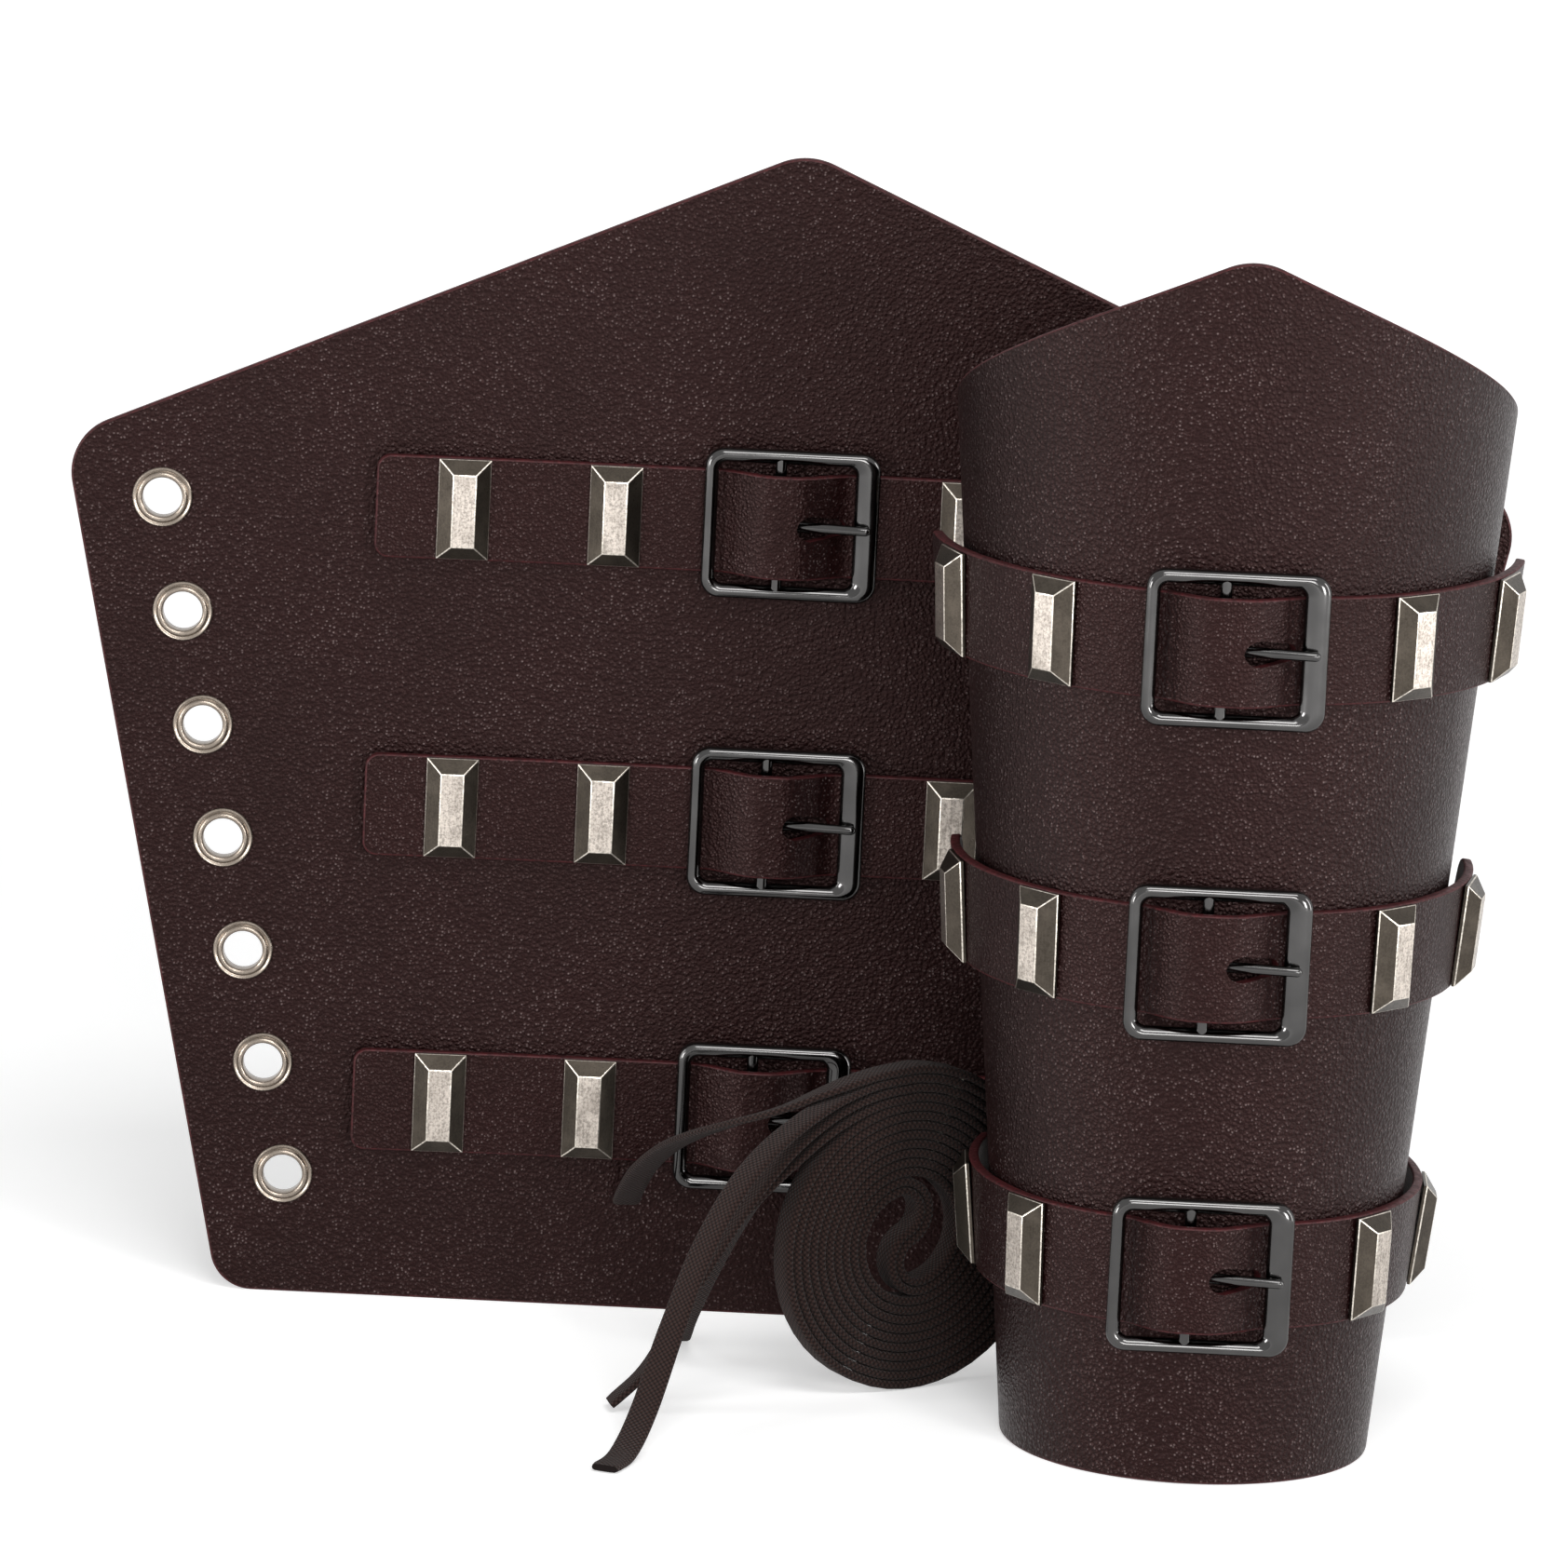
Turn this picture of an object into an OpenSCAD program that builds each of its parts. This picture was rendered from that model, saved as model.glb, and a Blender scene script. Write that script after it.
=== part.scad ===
// A pair of leather arm guards, one laid open and standing on its wrist edge, one rolled to its
// worn shape and standing in front of it, with their two lacing cords rolled up together.
// Each guard is one cut of leather with seven eyelets down each side edge, and three short straps
// held on by faceted studs. A centre-bar buckle with a hinged prong sits on each strap.
// Millimetres. Z is up and -Y faces the viewer. The origin is the middle of the open guard's wrist edge.

/* [Leather] */
// Length of a guard from its wrist edge to its point
guard_l = 250; // [200:1:300]
// Width of the flat cut at the wrist edge
wrist_w = 230; // [190:1:260]
// How much each side edge leans out, per millimetre of height
side_slope = 0.212; // [0.15:0.002:0.26]
// Fall of the two top edges from the point, per millimetre of width
point_slope = 0.442; // [0.3:0.002:0.55]
// Thickness of the guard's leather
guard_t = 2.2; // [1.6:0.1:3]
// Radius of the rounded point
point_r = 14; // [8:1:25]
// Radius of the rounded shoulder corners
shoulder_r = 12; // [6:1:18]
// Radius of the rounded wrist corners
wrist_r = 9; // [4:1:14]

/* [Rolled guard] */
// How far round the arm the wrist corners reach, in degrees from the front
roll_half = 176; // [150:1:177]
// How much the rolled radius grows per millimetre up the arm
roll_taper = 0.09; // [0.08:0.002:0.1]
// How far the standing guard leans back, in degrees
roll_lean = 6; // [4:0.5:8]
// How far to the right of the open guard the rolled one stands
roll_x = 90; // [80:1:110]
// Gap between the open guard's face and the back of the rolled one
stand_gap = 9; // [8.5:0.5:30]

/* [Eyelets] */
// Radius of the hole that the lace goes through
eyelet_bore_r = 4.2; // [3:0.1:4.6]
// Radius of an eyelet's flange
eyelet_flange_r = 6.4; // [5.4:0.1:7.5]
// Height of the domed flange
eyelet_flange_h = 1.1; // [0.7:0.1:1.6]
// Wall of the eyelet's barrel
eyelet_wall = 0.4; // [0.3:0.05:0.6]
// Thickness of the washer behind the leather
washer_t = 0.5; // [0.3:0.1:0.9]
// Distance of the eyelets from the side edge
eyelet_inset = 18.3; // [14:0.1:24]
// Height of the lowest eyelet
eyelet_low = 26; // [18:1:40]
// Spacing of the eyelets up the edge
eyelet_pitch = 24.8; // [18:0.1:26]

/* [Straps] */
// Width of a strap
strap_w = 22; // [16:0.5:24]
// Length of a strap
strap_l = 175; // [168:1:180]
// Thickness of a strap
strap_t = 2; // [1.4:0.1:2.4]
// Height of the bottom strap's middle
strap_low = 44; // [34:1:56]
// Spacing of the three straps
strap_pitch = 64.3; // [50:0.1:66]
// Radius of a strap's corners
strap_r = 3; // [1:0.5:5]
// How far the strap ends lift off the open guard
open_lift = 1.6; // [1.5:0.1:3]
// How far the strap ends spring off the rolled guard
rolled_lift = 4.2; // [2:0.1:6]

/* [Studs] */
// Width of a stud along the strap
stud_w = 11; // [8:0.5:14]
// Length of a stud across the strap
stud_l = 21.4; // [14:0.1:24]
// Height of a stud
stud_h = 3.4; // [2.4:0.1:5]
// Width of the flat on top of a stud
stud_top_w = 4.8; // [3:0.1:7]
// Length of the flat on top of a stud
stud_top_l = 15.4; // [9:0.1:18]
// Height of a stud's straight rim
stud_rim = 0.7; // [0.4:0.1:1.2]
// Distance of the inner studs from the strap's middle
stud_in = 37; // [33:0.5:42]
// Distance of the outer studs from the strap's middle
stud_out = 69; // [60:0.5:74]

/* [Buckles] */
// Outer width of a buckle along the strap
buckle_w = 37; // [35:0.5:38]
// Outer height of a buckle across the strap
buckle_h = 32; // [30:0.5:40]
// Thickness of a buckle's frame
buckle_t = 2.8; // [2.2:0.1:3.4]
// Width of the three narrow sides of the frame
rail_w = 2.9; // [2:0.1:3.4]
// Width of the broad side that the prong rests on
rest_w = 5.2; // [4:0.1:6]
// Outer corner radius of the frame
buckle_r = 4; // [3.2:0.1:6]
// Distance of the centre bar from the frame's middle
bar_off = 2.5; // [1.5:0.1:3]
// Radius of the centre bar
bar_r = 1.2; // [1:0.05:1.4]
// Half thickness of the prong's shank
shank_r = 1.1; // [0.8:0.05:1.3]
// Reach of the prong's tip from the centre bar
prong_l = 19.6; // [18.5:0.1:20.4]

/* [Laces] */
// Width of the flat lace
lace_w = 6; // [5:0.1:6.2]
// Thickness of the flat lace
lace_t = 1.5; // [1:0.1:1.55]
// Radial pitch of the strands in the coil
strand_pitch = 2; // [1.95:0.05:2.1]
// Turns of the longer arm of the coil
coil_turns = 3; // [2:1:3]
// Radius of the two bends in the middle of the coil
bend_r = 5.75; // [4:0.25:6.5]
// How far the middle of the coil is turned, in degrees
coil_start = 25; // [0:5:60]

/* [Hidden] */
$fn = 48;

leather = "#33201f";
strap_leather = "#3a2322";
gunmetal = "#5c5c60";
old_silver = "#a39c92";
lace_brown = "#35261f";

seat_gap = 0.3;          // between parts that lie on each other
snug_gap = 0.3;          // between metal and the leather it is threaded through
close_fit = 0.05;        // between an eyelet's barrel and its washer
hole_fit = 0.1;          // between an eyelet's barrel and the leather
running_fit = 0.06;      // between the centre bar and the prong's eye
weld = 0.1;              // how far shapes of one solid run into each other
cutter_h = 20;           // height of a shape that is cut away
half_t = guard_t / 2;
strap_mid = half_t + seat_gap + strap_t / 2;

// The flat cut.
edge_angle = atan(side_slope);
point_angle = atan(point_slope);
point_z = guard_l + point_r * (1 / cos(point_angle) - 1);
shoulder_z = (point_z - point_slope * wrist_w / 2) / (1 + point_slope * side_slope);
shoulder_x = wrist_w / 2 + side_slope * shoulder_z;

// Where the centre of a fillet of radius r lies in a corner whose edges leave in directions u and v.
function unit(v) = v / norm(v);
function fillet_centre(corner, to_a, to_b, r) =
    let (u = unit(to_a - corner), v = unit(to_b - corner), half = acos(u * v) / 2)
    corner + unit(u + v) * r / sin(half);
function fillet_reach(corner, to_a, to_b, r) =
    let (u = unit(to_a - corner), v = unit(to_b - corner), half = acos(u * v) / 2) r / tan(half);
function fillet_arc(corner, to_a, to_b, r, steps = 8) =
    let (c = fillet_centre(corner, to_a, to_b, r), reach = fillet_reach(corner, to_a, to_b, r),
         from = corner + unit(to_a - corner) * reach - c, to = corner + unit(to_b - corner) * reach - c,
         turn = atan2(from[0] * to[1] - from[1] * to[0], from * to))
    [for (i = [0 : steps]) let (a = turn * i / steps)
        c + [from[0] * cos(a) - from[1] * sin(a), from[0] * sin(a) + from[1] * cos(a)]];

wrist_left = [-wrist_w / 2, 0];
wrist_right = [wrist_w / 2, 0];
shoulder_right = [shoulder_x, shoulder_z];
shoulder_left = [-shoulder_x, shoulder_z];
point = [0, point_z];

function guard_outline() = concat(
    fillet_arc(wrist_left, shoulder_left, wrist_right, wrist_r),
    fillet_arc(wrist_right, wrist_left, shoulder_right, wrist_r),
    fillet_arc(shoulder_right, wrist_right, point, shoulder_r),
    fillet_arc(point, shoulder_right, shoulder_left, point_r),
    fillet_arc(shoulder_left, point, wrist_left, shoulder_r));

// The cone that the cut rolls into. Its tip lies below the wrist edge.
cone_sine = roll_taper;
cone_angle = asin(cone_sine);
cone_cosine = cos(cone_angle);
cone_tip = wrist_w / 2 / tan(roll_half * cone_sine);

// A point of the flat cut, at (x, z) and h in front of the leather's middle, on the rolled cone.
function cone_point(x, z, h) =
    let (along = norm([x, z + cone_tip]), round = atan2(x, z + cone_tip) / cone_sine,
         r = along * cone_sine + h * cone_cosine)
    [r * sin(round), -r * cos(round), (along - cone_tip) * cone_cosine - h * cone_sine];
function leaned(p) = [p[0], p[1] * cos(roll_lean) + p[2] * sin(roll_lean),
                      -p[1] * sin(roll_lean) + p[2] * cos(roll_lean)];
rim_steps = 40;
rim_drop = -min([for (i = [-rim_steps : rim_steps], h = [-half_t, half_t])
    leaned(cone_point(wrist_w / 2 * i / rim_steps, 0, h))[2]]);
roll_back = max([for (p = guard_outline(), h = [-half_t, half_t]) leaned(cone_point(p[0], p[1], h))[1]]);
roll_y = half_t + stand_gap + roll_back;
function rolled_point(x, z, h) = leaned(cone_point(x, z, h)) + [roll_x, back_y - roll_y, rim_drop];
function guard_point(rolled, x, z, h) = rolled ? rolled_point(x, z, h) : [x, back_y - h, z];

// Puts a part at (x, z) of the flat cut, with X and Z along the leather and -Y out of it.
module on_guard(rolled, x, z) {
    along = norm([x, z + cone_tip]);
    aside = atan2(x, z + cone_tip);
    if (rolled)
        translate([roll_x, back_y - roll_y, rim_drop]) rotate([-roll_lean, 0, 0])
            rotate([0, 0, aside / cone_sine])
                translate([0, -along * cone_sine, (along - cone_tip) * cone_cosine])
                    rotate([cone_angle, 0, 0]) rotate([0, -aside, 0]) children();
    else
        translate([x, back_y, z]) children();
}

// A closed mesh through rings of points, with flat ends. Each ring goes round the same way.
function ring_faces(count, sides) = concat(
    [for (i = [0 : count - 2], j = [0 : sides - 1]) let (k = (j + 1) % sides)
        [i * sides + j, (i + 1) * sides + j, (i + 1) * sides + k]],
    [for (i = [0 : count - 2], j = [0 : sides - 1]) let (k = (j + 1) % sides)
        [i * sides + j, (i + 1) * sides + k, i * sides + k]],
    [for (j = [1 : sides - 2]) [0, j, j + 1]],
    let (end = (count - 1) * sides) [for (j = [1 : sides - 2]) [end, end + j + 1, end + j]]);
module ring_solid(rings) {
    sides = len(rings[0]);
    polyhedron(points = [for (ring = rings) each ring], faces = ring_faces(len(rings), sides),
               convexity = 10);
}

// Where a ray from the cone's tip, at angle a from the middle, crosses the flat cut's outline.
function ray_hits(a, outline) =
    let (d = [sin(a), cos(a)], n = [d[1], -d[0]], tip = [0, -cone_tip], last = len(outline) - 1)
    [for (i = [0 : last])
        let (p = outline[i] - tip, q = outline[i == last ? 0 : i + 1] - tip, u = p * n, v = q * n)
        if ((u <= 0) != (v <= 0)) (p + (q - p) * u / (u - v)) * d];
ray_end = max([for (p = guard_outline()) atan2(p[0], p[1] + cone_tip)]);
ray_steps = 46;
// The last rays stand closer together, where they cross the rounded corners.
corner_rays = [0.99, 0.997, 0.9995];
half_rays = concat([for (i = [1 : ray_steps - 1]) i / ray_steps], corner_rays);
rays = concat([for (i = [len(half_rays) - 1 : -1 : 0]) -half_rays[i]], [0], half_rays) * ray_end;

module rolled_shell() {
    outline = guard_outline();
    ring_solid([for (a = rays)
        let (hits = ray_hits(a, outline), low = min(hits), top = max(hits),
             x0 = low * sin(a), z0 = low * cos(a) - cone_tip,
             x1 = top * sin(a), z1 = top * cos(a) - cone_tip)
        [rolled_point(x0, z0, -half_t), rolled_point(x1, z1, -half_t),
         rolled_point(x1, z1, half_t), rolled_point(x0, z0, half_t)]]);
}
module open_sheet() {
    translate([0, back_y + half_t, 0]) rotate([90, 0, 0]) linear_extrude(guard_t) polygon(guard_outline());
}

// The eyelets stand in a row beside each side edge.
eyelet_count = 7;
barrel_r = eyelet_bore_r + eyelet_wall;
barrel_out = 0.3;
washer_inset = 0.6;
washer_r = eyelet_flange_r - washer_inset;
// A flat washer inside the curved wall stands off by the wall's rise over its radius.
function washer_off(rolled) =
    rolled ? washer_r * washer_r / 2 / (cone_tip * cone_sine - half_t) + close_fit : 0;
function eyelet_z(i) = eyelet_low + i * eyelet_pitch * cos(edge_angle);
function eyelet_x(z) = wrist_w / 2 + side_slope * z - eyelet_inset / cos(edge_angle);
module at_eyelets(rolled, side)
    for (i = [0 : eyelet_count - 1])
        on_guard(rolled, side * eyelet_x(eyelet_z(i)), eyelet_z(i)) rotate([90, 0, 0]) children();

// Flange over the front face and a barrel through the leather, revolved round the hole.
module eyelet(rolled) {
    barrel_l = guard_t + washer_off(rolled) + washer_t + barrel_out;
    rotate_extrude() {
        translate([eyelet_bore_r, half_t]) square([eyelet_flange_r - eyelet_bore_r, eyelet_flange_h / 2]);
        translate([(eyelet_bore_r + eyelet_flange_r) / 2, half_t + eyelet_flange_h / 2]) intersection() {
            scale([1, eyelet_flange_h / (eyelet_flange_r - eyelet_bore_r)])
                circle(d = eyelet_flange_r - eyelet_bore_r, $fn = 24);
            translate([-eyelet_flange_r, 0]) square([2 * eyelet_flange_r, eyelet_flange_h]);
        }
        translate([eyelet_bore_r, half_t - barrel_l]) square([eyelet_wall, barrel_l + weld]);
    }
}
module eyelet_row(rolled, side) {
    color(gunmetal) at_eyelets(rolled, side) eyelet(rolled);
}
module washer_row(rolled, side) {
    top = -half_t - washer_off(rolled);
    color(gunmetal) at_eyelets(rolled, side) difference() {
        translate([0, 0, top - washer_t]) cylinder(r = washer_r, h = washer_t);
        translate([0, 0, top - cutter_h / 2]) cylinder(r = barrel_r + close_fit, h = cutter_h);
    }
}

// A strap lies on the leather, goes under the buckle's left rail, over its centre bar and under its
// broad rail, and lifts off towards its ends.
strap_half = strap_l / 2;
lift_from = 45;
eye_wall = 1.2;
eye_r = bar_r + running_fit + eye_wall;
frame_gap = 0.2;
// The rolled guard falls away at both sides of a flat buckle, which sits that much closer to it.
rolled_seat = 1;
function bar_height(rolled) =
    strap_mid + strap_t / 2 + frame_gap + buckle_t / 2 - (rolled ? rolled_seat : 0);
bar_x = -bar_off;
crest_before = 1;
crest_after = 3;
rise_from = -buckle_w / 2 + rail_w + 2 * seat_gap;
rise_to = bar_x - crest_before;
fall_from = bar_x + crest_after;
fall_to = buckle_w / 2 - rest_w - seat_gap;
// The pair's middle, from front to back, is at y = 0.
roll_front = -leaned(cone_point(0, strap_low - strap_w / 2,
    bar_height(true) + eye_r + snug_gap + strap_t))[1];
back_reach = half_t + washer_t + barrel_out;
back_y = (roll_y + roll_front - back_reach) / 2;
function smooth(u) = let (v = max(0, min(1, u))) v * v * (3 - 2 * v);
function arch(s) = smooth((s - rise_from) / (rise_to - rise_from))
    * (1 - smooth((s - fall_from) / (fall_to - fall_from)));
lift_power = 1.5;
function lift(rolled, s) =
    let (u = max(0, abs(s) - lift_from) / (strap_half - lift_from))
    (rolled ? rolled_lift : open_lift) * pow(u, lift_power);
function strap_height(rolled, s) =
    let (crest = bar_height(rolled) + eye_r + snug_gap + strap_t / 2)
    strap_mid + (crest - strap_mid) * arch(s) + lift(rolled, s);
slope_step = 0.05;
function strap_slope(rolled, s) =
    (strap_height(rolled, s + slope_step) - strap_height(rolled, s - slope_step)) / (2 * slope_step);
function corner_cut(s) =
    let (inside = max(0, strap_r - strap_half + abs(s)))
    strap_r - sqrt(max(0, strap_r * strap_r - inside * inside));
// Sections stand close round the ends' corners and over the buckle, and further apart between.
corner_shares = [0, 0.07, 0.2, 0.47, 1];
arch_half = 18.5;
arch_step = 1.25;
flat_steps = 14;
flat_from = strap_half - strap_r;
flat_step = (flat_from - arch_half - arch_step) / flat_steps;
half_stations = concat([for (share = corner_shares) strap_half - share * strap_r],
    [for (i = [1 : flat_steps]) flat_from - flat_step * i]);
function reversed(list) = [for (i = [len(list) - 1 : -1 : 0]) list[i]];
strap_stations = concat(-half_stations, [for (s = [-arch_half : arch_step : arch_half]) s],
    reversed(half_stations));

function strap_edge(rolled, s, z, side, out) =
    let (slope = strap_slope(rolled, s), n = [-slope, 1] / norm([slope, 1]) * out * strap_t / 2,
         w = strap_w / 2 - corner_cut(s))
    guard_point(rolled, s + n[0], z + side * w, strap_height(rolled, s) + n[1]);
module strap_band(rolled, z) {
    ring_solid([for (s = strap_stations)
        [strap_edge(rolled, s, z, -1, -1), strap_edge(rolled, s, z, 1, -1),
         strap_edge(rolled, s, z, 1, 1), strap_edge(rolled, s, z, -1, 1)]]);
}

// The slot that the prong comes through, from just past its eye to where the shank is clear.
slot_play = 1.4;
slot_w = 2 * shank_r + slot_play;
slot_start = 3.7;
slot_l = 9.9;
slot_from = bar_x + slot_start;
slot_round = slot_from + slot_l - slot_w / 2;
module prong_slot(rolled, z) {
    on_guard(rolled, 0, z) rotate([90, 0, 0]) {
        translate([slot_round, 0, 0]) cylinder(d = slot_w, h = cutter_h);
        translate([slot_from, -slot_w / 2, 0]) cube([slot_round - slot_from, slot_w, cutter_h]);
    }
}

// Studs grip with two flat legs that go through and are bent over behind.
leg_w = 2.4;
leg_t = 0.6;
leg_inset = 4.5;
leg_out = stud_l / 2 - leg_inset;
leg_gap = 0.2;
stud_seat = 0.1;
tab_l = 3.6;
function tab_gap(rolled) = rolled ? 0.35 : 0.15;
inner_studs = [-stud_in, stud_in];
outer_studs = [-stud_out, stud_out];
module on_strap(rolled, s, z) {
    on_guard(rolled, s, z) translate([0, -strap_height(rolled, s), 0])
        rotate([0, 0, -atan(strap_slope(rolled, s))]) children();
}
module leg_holes(reach) {
    for (up = [-1, 1])
        translate([-leg_w / 2 - leg_gap, -reach, up * leg_out - leg_t / 2 - leg_gap])
            cube([leg_w + 2 * leg_gap, 2 * reach, leg_t + 2 * leg_gap]);
}
module stud(through) {
    b = [stud_w / 2, stud_l / 2];
    t = [stud_top_w / 2, stud_top_l / 2];
    y0 = -strap_t / 2 - stud_seat;
    corners = [[-1, -1], [1, -1], [1, 1], [-1, 1]];
    ring_solid([
        [for (c = corners) [c[0] * b[0], y0, c[1] * b[1]]],
        [for (c = corners) [c[0] * b[0], y0 - stud_rim, c[1] * b[1]]],
        [for (c = corners) [c[0] * t[0], y0 - stud_h, c[1] * t[1]]]]);
    for (up = [-1, 1]) {
        translate([-leg_w / 2, y0 - weld, up * leg_out - leg_t / 2])
            cube([leg_w, through + weld - y0, leg_t]);
        translate([-leg_w / 2, through, up * leg_out - (up > 0 ? tab_l - leg_t / 2 : leg_t / 2)])
            cube([leg_w, leg_t, tab_l]);
    }
}
module stud_set(rolled, z) {
    color(old_silver) {
        for (s = inner_studs)
            on_strap(rolled, s, z) stud(strap_height(rolled, s) + half_t + tab_gap(rolled));
        for (s = outer_studs)
            on_strap(rolled, s, z) stud(strap_t / 2 + tab_gap(rolled));
    }
}

module guard_strap(rolled, z) {
    color(strap_leather) difference() {
        strap_band(rolled, z);
        prong_slot(rolled, z);
        for (s = concat(inner_studs, outer_studs)) on_strap(rolled, s, z) leg_holes(strap_t);
    }
}

strap_zs = [for (i = [0 : 2]) strap_low + i * strap_pitch];
module guard_body(rolled) {
    color(leather) difference() {
        if (rolled) rolled_shell(); else open_sheet();
        for (side = [-1, 1])
            at_eyelets(rolled, side) translate([0, 0, -2 * guard_t])
                cylinder(r = barrel_r + hole_fit, h = 4 * guard_t);
        for (z = strap_zs, s = inner_studs)
            on_strap(rolled, s, z) translate([0, strap_height(rolled, s), 0]) leg_holes(guard_t);
    }
}

// A buckle's frame: a rail revolved round the corners and extruded along the sides, with a broader
// rail on the right and a thin bar across, left of the middle. A rail is square towards the leather and
// crowned in front.
rest_lap = 0.5;
square_share = 0.62;
module rail_profile(w) {
    intersection() {
        translate([0, -buckle_t / 2]) square([w, buckle_t]);
        union() {
            translate([0, -buckle_t / 2]) square([w, buckle_t * square_share]);
            translate([w / 2, 0]) scale([w / buckle_t, 1]) circle(d = buckle_t);
        }
    }
}
module rail(w, length) {
    rotate([90, 0, 90]) translate([0, 0, -length / 2]) linear_extrude(length) rail_profile(w);
}
module buckle_frame() {
    run_x = buckle_w - 2 * buckle_r;
    run_z = buckle_h - 2 * buckle_r;
    rotate([90, 0, 0]) {
        for (turn = [[0, run_x / 2, run_z / 2], [90, -run_x / 2, run_z / 2],
                     [180, -run_x / 2, -run_z / 2], [270, run_x / 2, -run_z / 2]])
            translate([turn[1], turn[2], 0]) rotate([0, 0, turn[0]])
                rotate_extrude(angle = 90) translate([buckle_r - rail_w, 0]) rail_profile(rail_w);
        translate([0, buckle_h / 2 - rail_w, 0]) rail(rail_w, run_x);
        translate([0, -buckle_h / 2 + rail_w, 0]) rotate([0, 0, 180]) rail(rail_w, run_x);
        translate([-buckle_w / 2 + rail_w, 0, 0]) rotate([0, 0, 90]) rail(rail_w, run_z);
        translate([buckle_w / 2 - rest_w, 0, 0]) rotate([0, 0, -90])
            rail(rest_w, buckle_h - 2 * (rail_w - rest_lap));
    }
    translate([bar_x, 0, -buckle_h / 2 + rail_w / 2]) cylinder(r = bar_r, h = buckle_h - rail_w);
}
module buckle(rolled, z) {
    color(gunmetal) on_guard(rolled, 0, z) translate([0, -bar_height(rolled), 0]) buckle_frame();
}

// The prong turns on the centre bar, comes through the strap's slot and rests on the broad rail.
rest_gap = 0.2;
crown_inset = 1.3;
rest_reach = (buckle_w - rest_w) / 2 - bar_x - crown_inset;
prong_rise = atan((buckle_t / 2 + shank_r + rest_gap) / rest_reach);
eye_w = 3.4;
module prong(rolled, z) {
    color(gunmetal) on_guard(rolled, 0, z) translate([bar_x, -bar_height(rolled), 0]) difference() {
        union() {
            translate([0, 0, -eye_w / 2]) cylinder(r = eye_r, h = eye_w);
            rotate([0, 0, -prong_rise]) {
                translate([bar_r, 0, 0]) rotate([0, 90, 0]) cylinder(r = shank_r, h = prong_l - bar_r - shank_r);
                translate([prong_l - shank_r, 0, 0]) sphere(r = shank_r);
            }
        }
        translate([0, 0, -cutter_h / 2]) cylinder(r = bar_r + running_fit, h = cutter_h);
    }
}

// The two laces lie side by side through both arms of one double spiral, which stands on its rim.
coil_x = 31;
coil_before = 28;
coil_at = [coil_x, coil_before - roll_y];
rim_gap = 0.1;
coil_turn = 33;
coil_grow = 4 * strand_pitch;
first_r = 2 * bend_r;
arm_turns = [coil_turns - coil_start / 360, coil_turns - 0.5 - coil_start / 360];
loop_steps = 24;
function arm_r(turns, side) = first_r + coil_grow * turns + side * strand_pitch / 2;
coil_z = arm_r(arm_turns[1], 1) + lace_t / 2 + rim_gap;
// The arms start at opposite ends of the middle bends, wind the same way and end at the top.
// side is -1 for the inner strand of an arm and 1 for the outer one.
function arm_point(arm, turns, side) =
    let (a = 90 + coil_start + 180 * arm + 360 * turns) arm_r(turns, side) * [cos(a), sin(a)];
function arm_points(arm, side) = let (steps = round(arm_turns[arm] * loop_steps))
    [for (i = [0 : steps]) arm_point(arm, arm_turns[arm] * i / steps, side)];
function spun(p) = [p[0] * cos(coil_start) - p[1] * sin(coil_start),
                    p[0] * sin(coil_start) + p[1] * cos(coil_start)];
// The bends go from the start of arm 0 through the middle to the start of arm 1.
bend_steps = 8;
function bend_points(side) = concat(
    [for (i = [1 : bend_steps - 1]) let (a = 90 - 180 * i / bend_steps)
        spun([0, bend_r] + (bend_r + side * strand_pitch / 2) * [cos(a), sin(a)])],
    [for (i = [0 : bend_steps - 1]) let (a = 90 + 180 * i / bend_steps)
        spun([0, -bend_r] + (bend_r - side * strand_pitch / 2) * [cos(a), sin(a)])]);
// A lace that is the inner strand of one arm is the outer strand of the other.
function coil_line(side) = concat(reversed(arm_points(0, side)), bend_points(side), arm_points(1, -side));
function coil_place(p, depth = 0) =
    [coil_at[0] + p[0] * cos(coil_turn) + depth * sin(coil_turn),
     back_y + coil_at[1] + p[0] * sin(coil_turn) - depth * cos(coil_turn), coil_z + p[1]];
// Six sides: two points out at the edges and two pairs near them.
lace_section = [[-0.5, 0], [-0.36, 0.5], [0.36, 0.5], [0.5, 0], [0.36, -0.5], [-0.36, -0.5]];
function flat_tangent(line, i) = unit(line[min(i + 1, len(line) - 1)] - line[max(i - 1, 0)]);
module coiled_lace(side) {
    line = coil_line(side);
    last = len(line) - 1;
    ring_solid([for (i = [0 : last]) let (
            t = i == 0 || i == last ? [i == 0 ? 1 : -1, 0] : flat_tangent(line, i),
            across = [-t[1], t[0]])
        [for (q = lace_section) coil_place(line[i] + across * q[1] * lace_t, q[0] * lace_w)]]);
}

// The free ends, from the top of the coil: along the coil's face, towards the viewer, and height. They
// stay as chosen. The first point of each is moved to the end of its lace's arm.
tail_b_long = [[0, 0, 68.7], [-10, 0, 68], [-20, -1, 65.4], [-28, -7, 60.5], [-33, -18, 55.5],
               [-34, -31, 50], [-32, -44, 44], [-29, -57, 36.5], [-25, -68, 29], [-21.5, -75.5, 24]];
tail_a_long = [[0, 0, 66.7], [-10, 0, 66], [-20, 0.5, 63.2], [-30, 2, 59], [-39.5, 4.5, 54],
               [-48, 7, 47], [-56.5, 9.5, 36], [-65, 13, 21.5], [-75, 20, 8], [-84, 27, 1.6], [-92, 33, 1]];
tail_a_short = [[0, 0, 64.7], [-10, 0, 63.8], [-20, 0, 60.2], [-30, 0, 53.5], [-39.5, -0.5, 43],
                [-47.5, -1.5, 31], [-54, -3, 19], [-59.5, -5, 8.5], [-66, -7.5, 1.5]];
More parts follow.
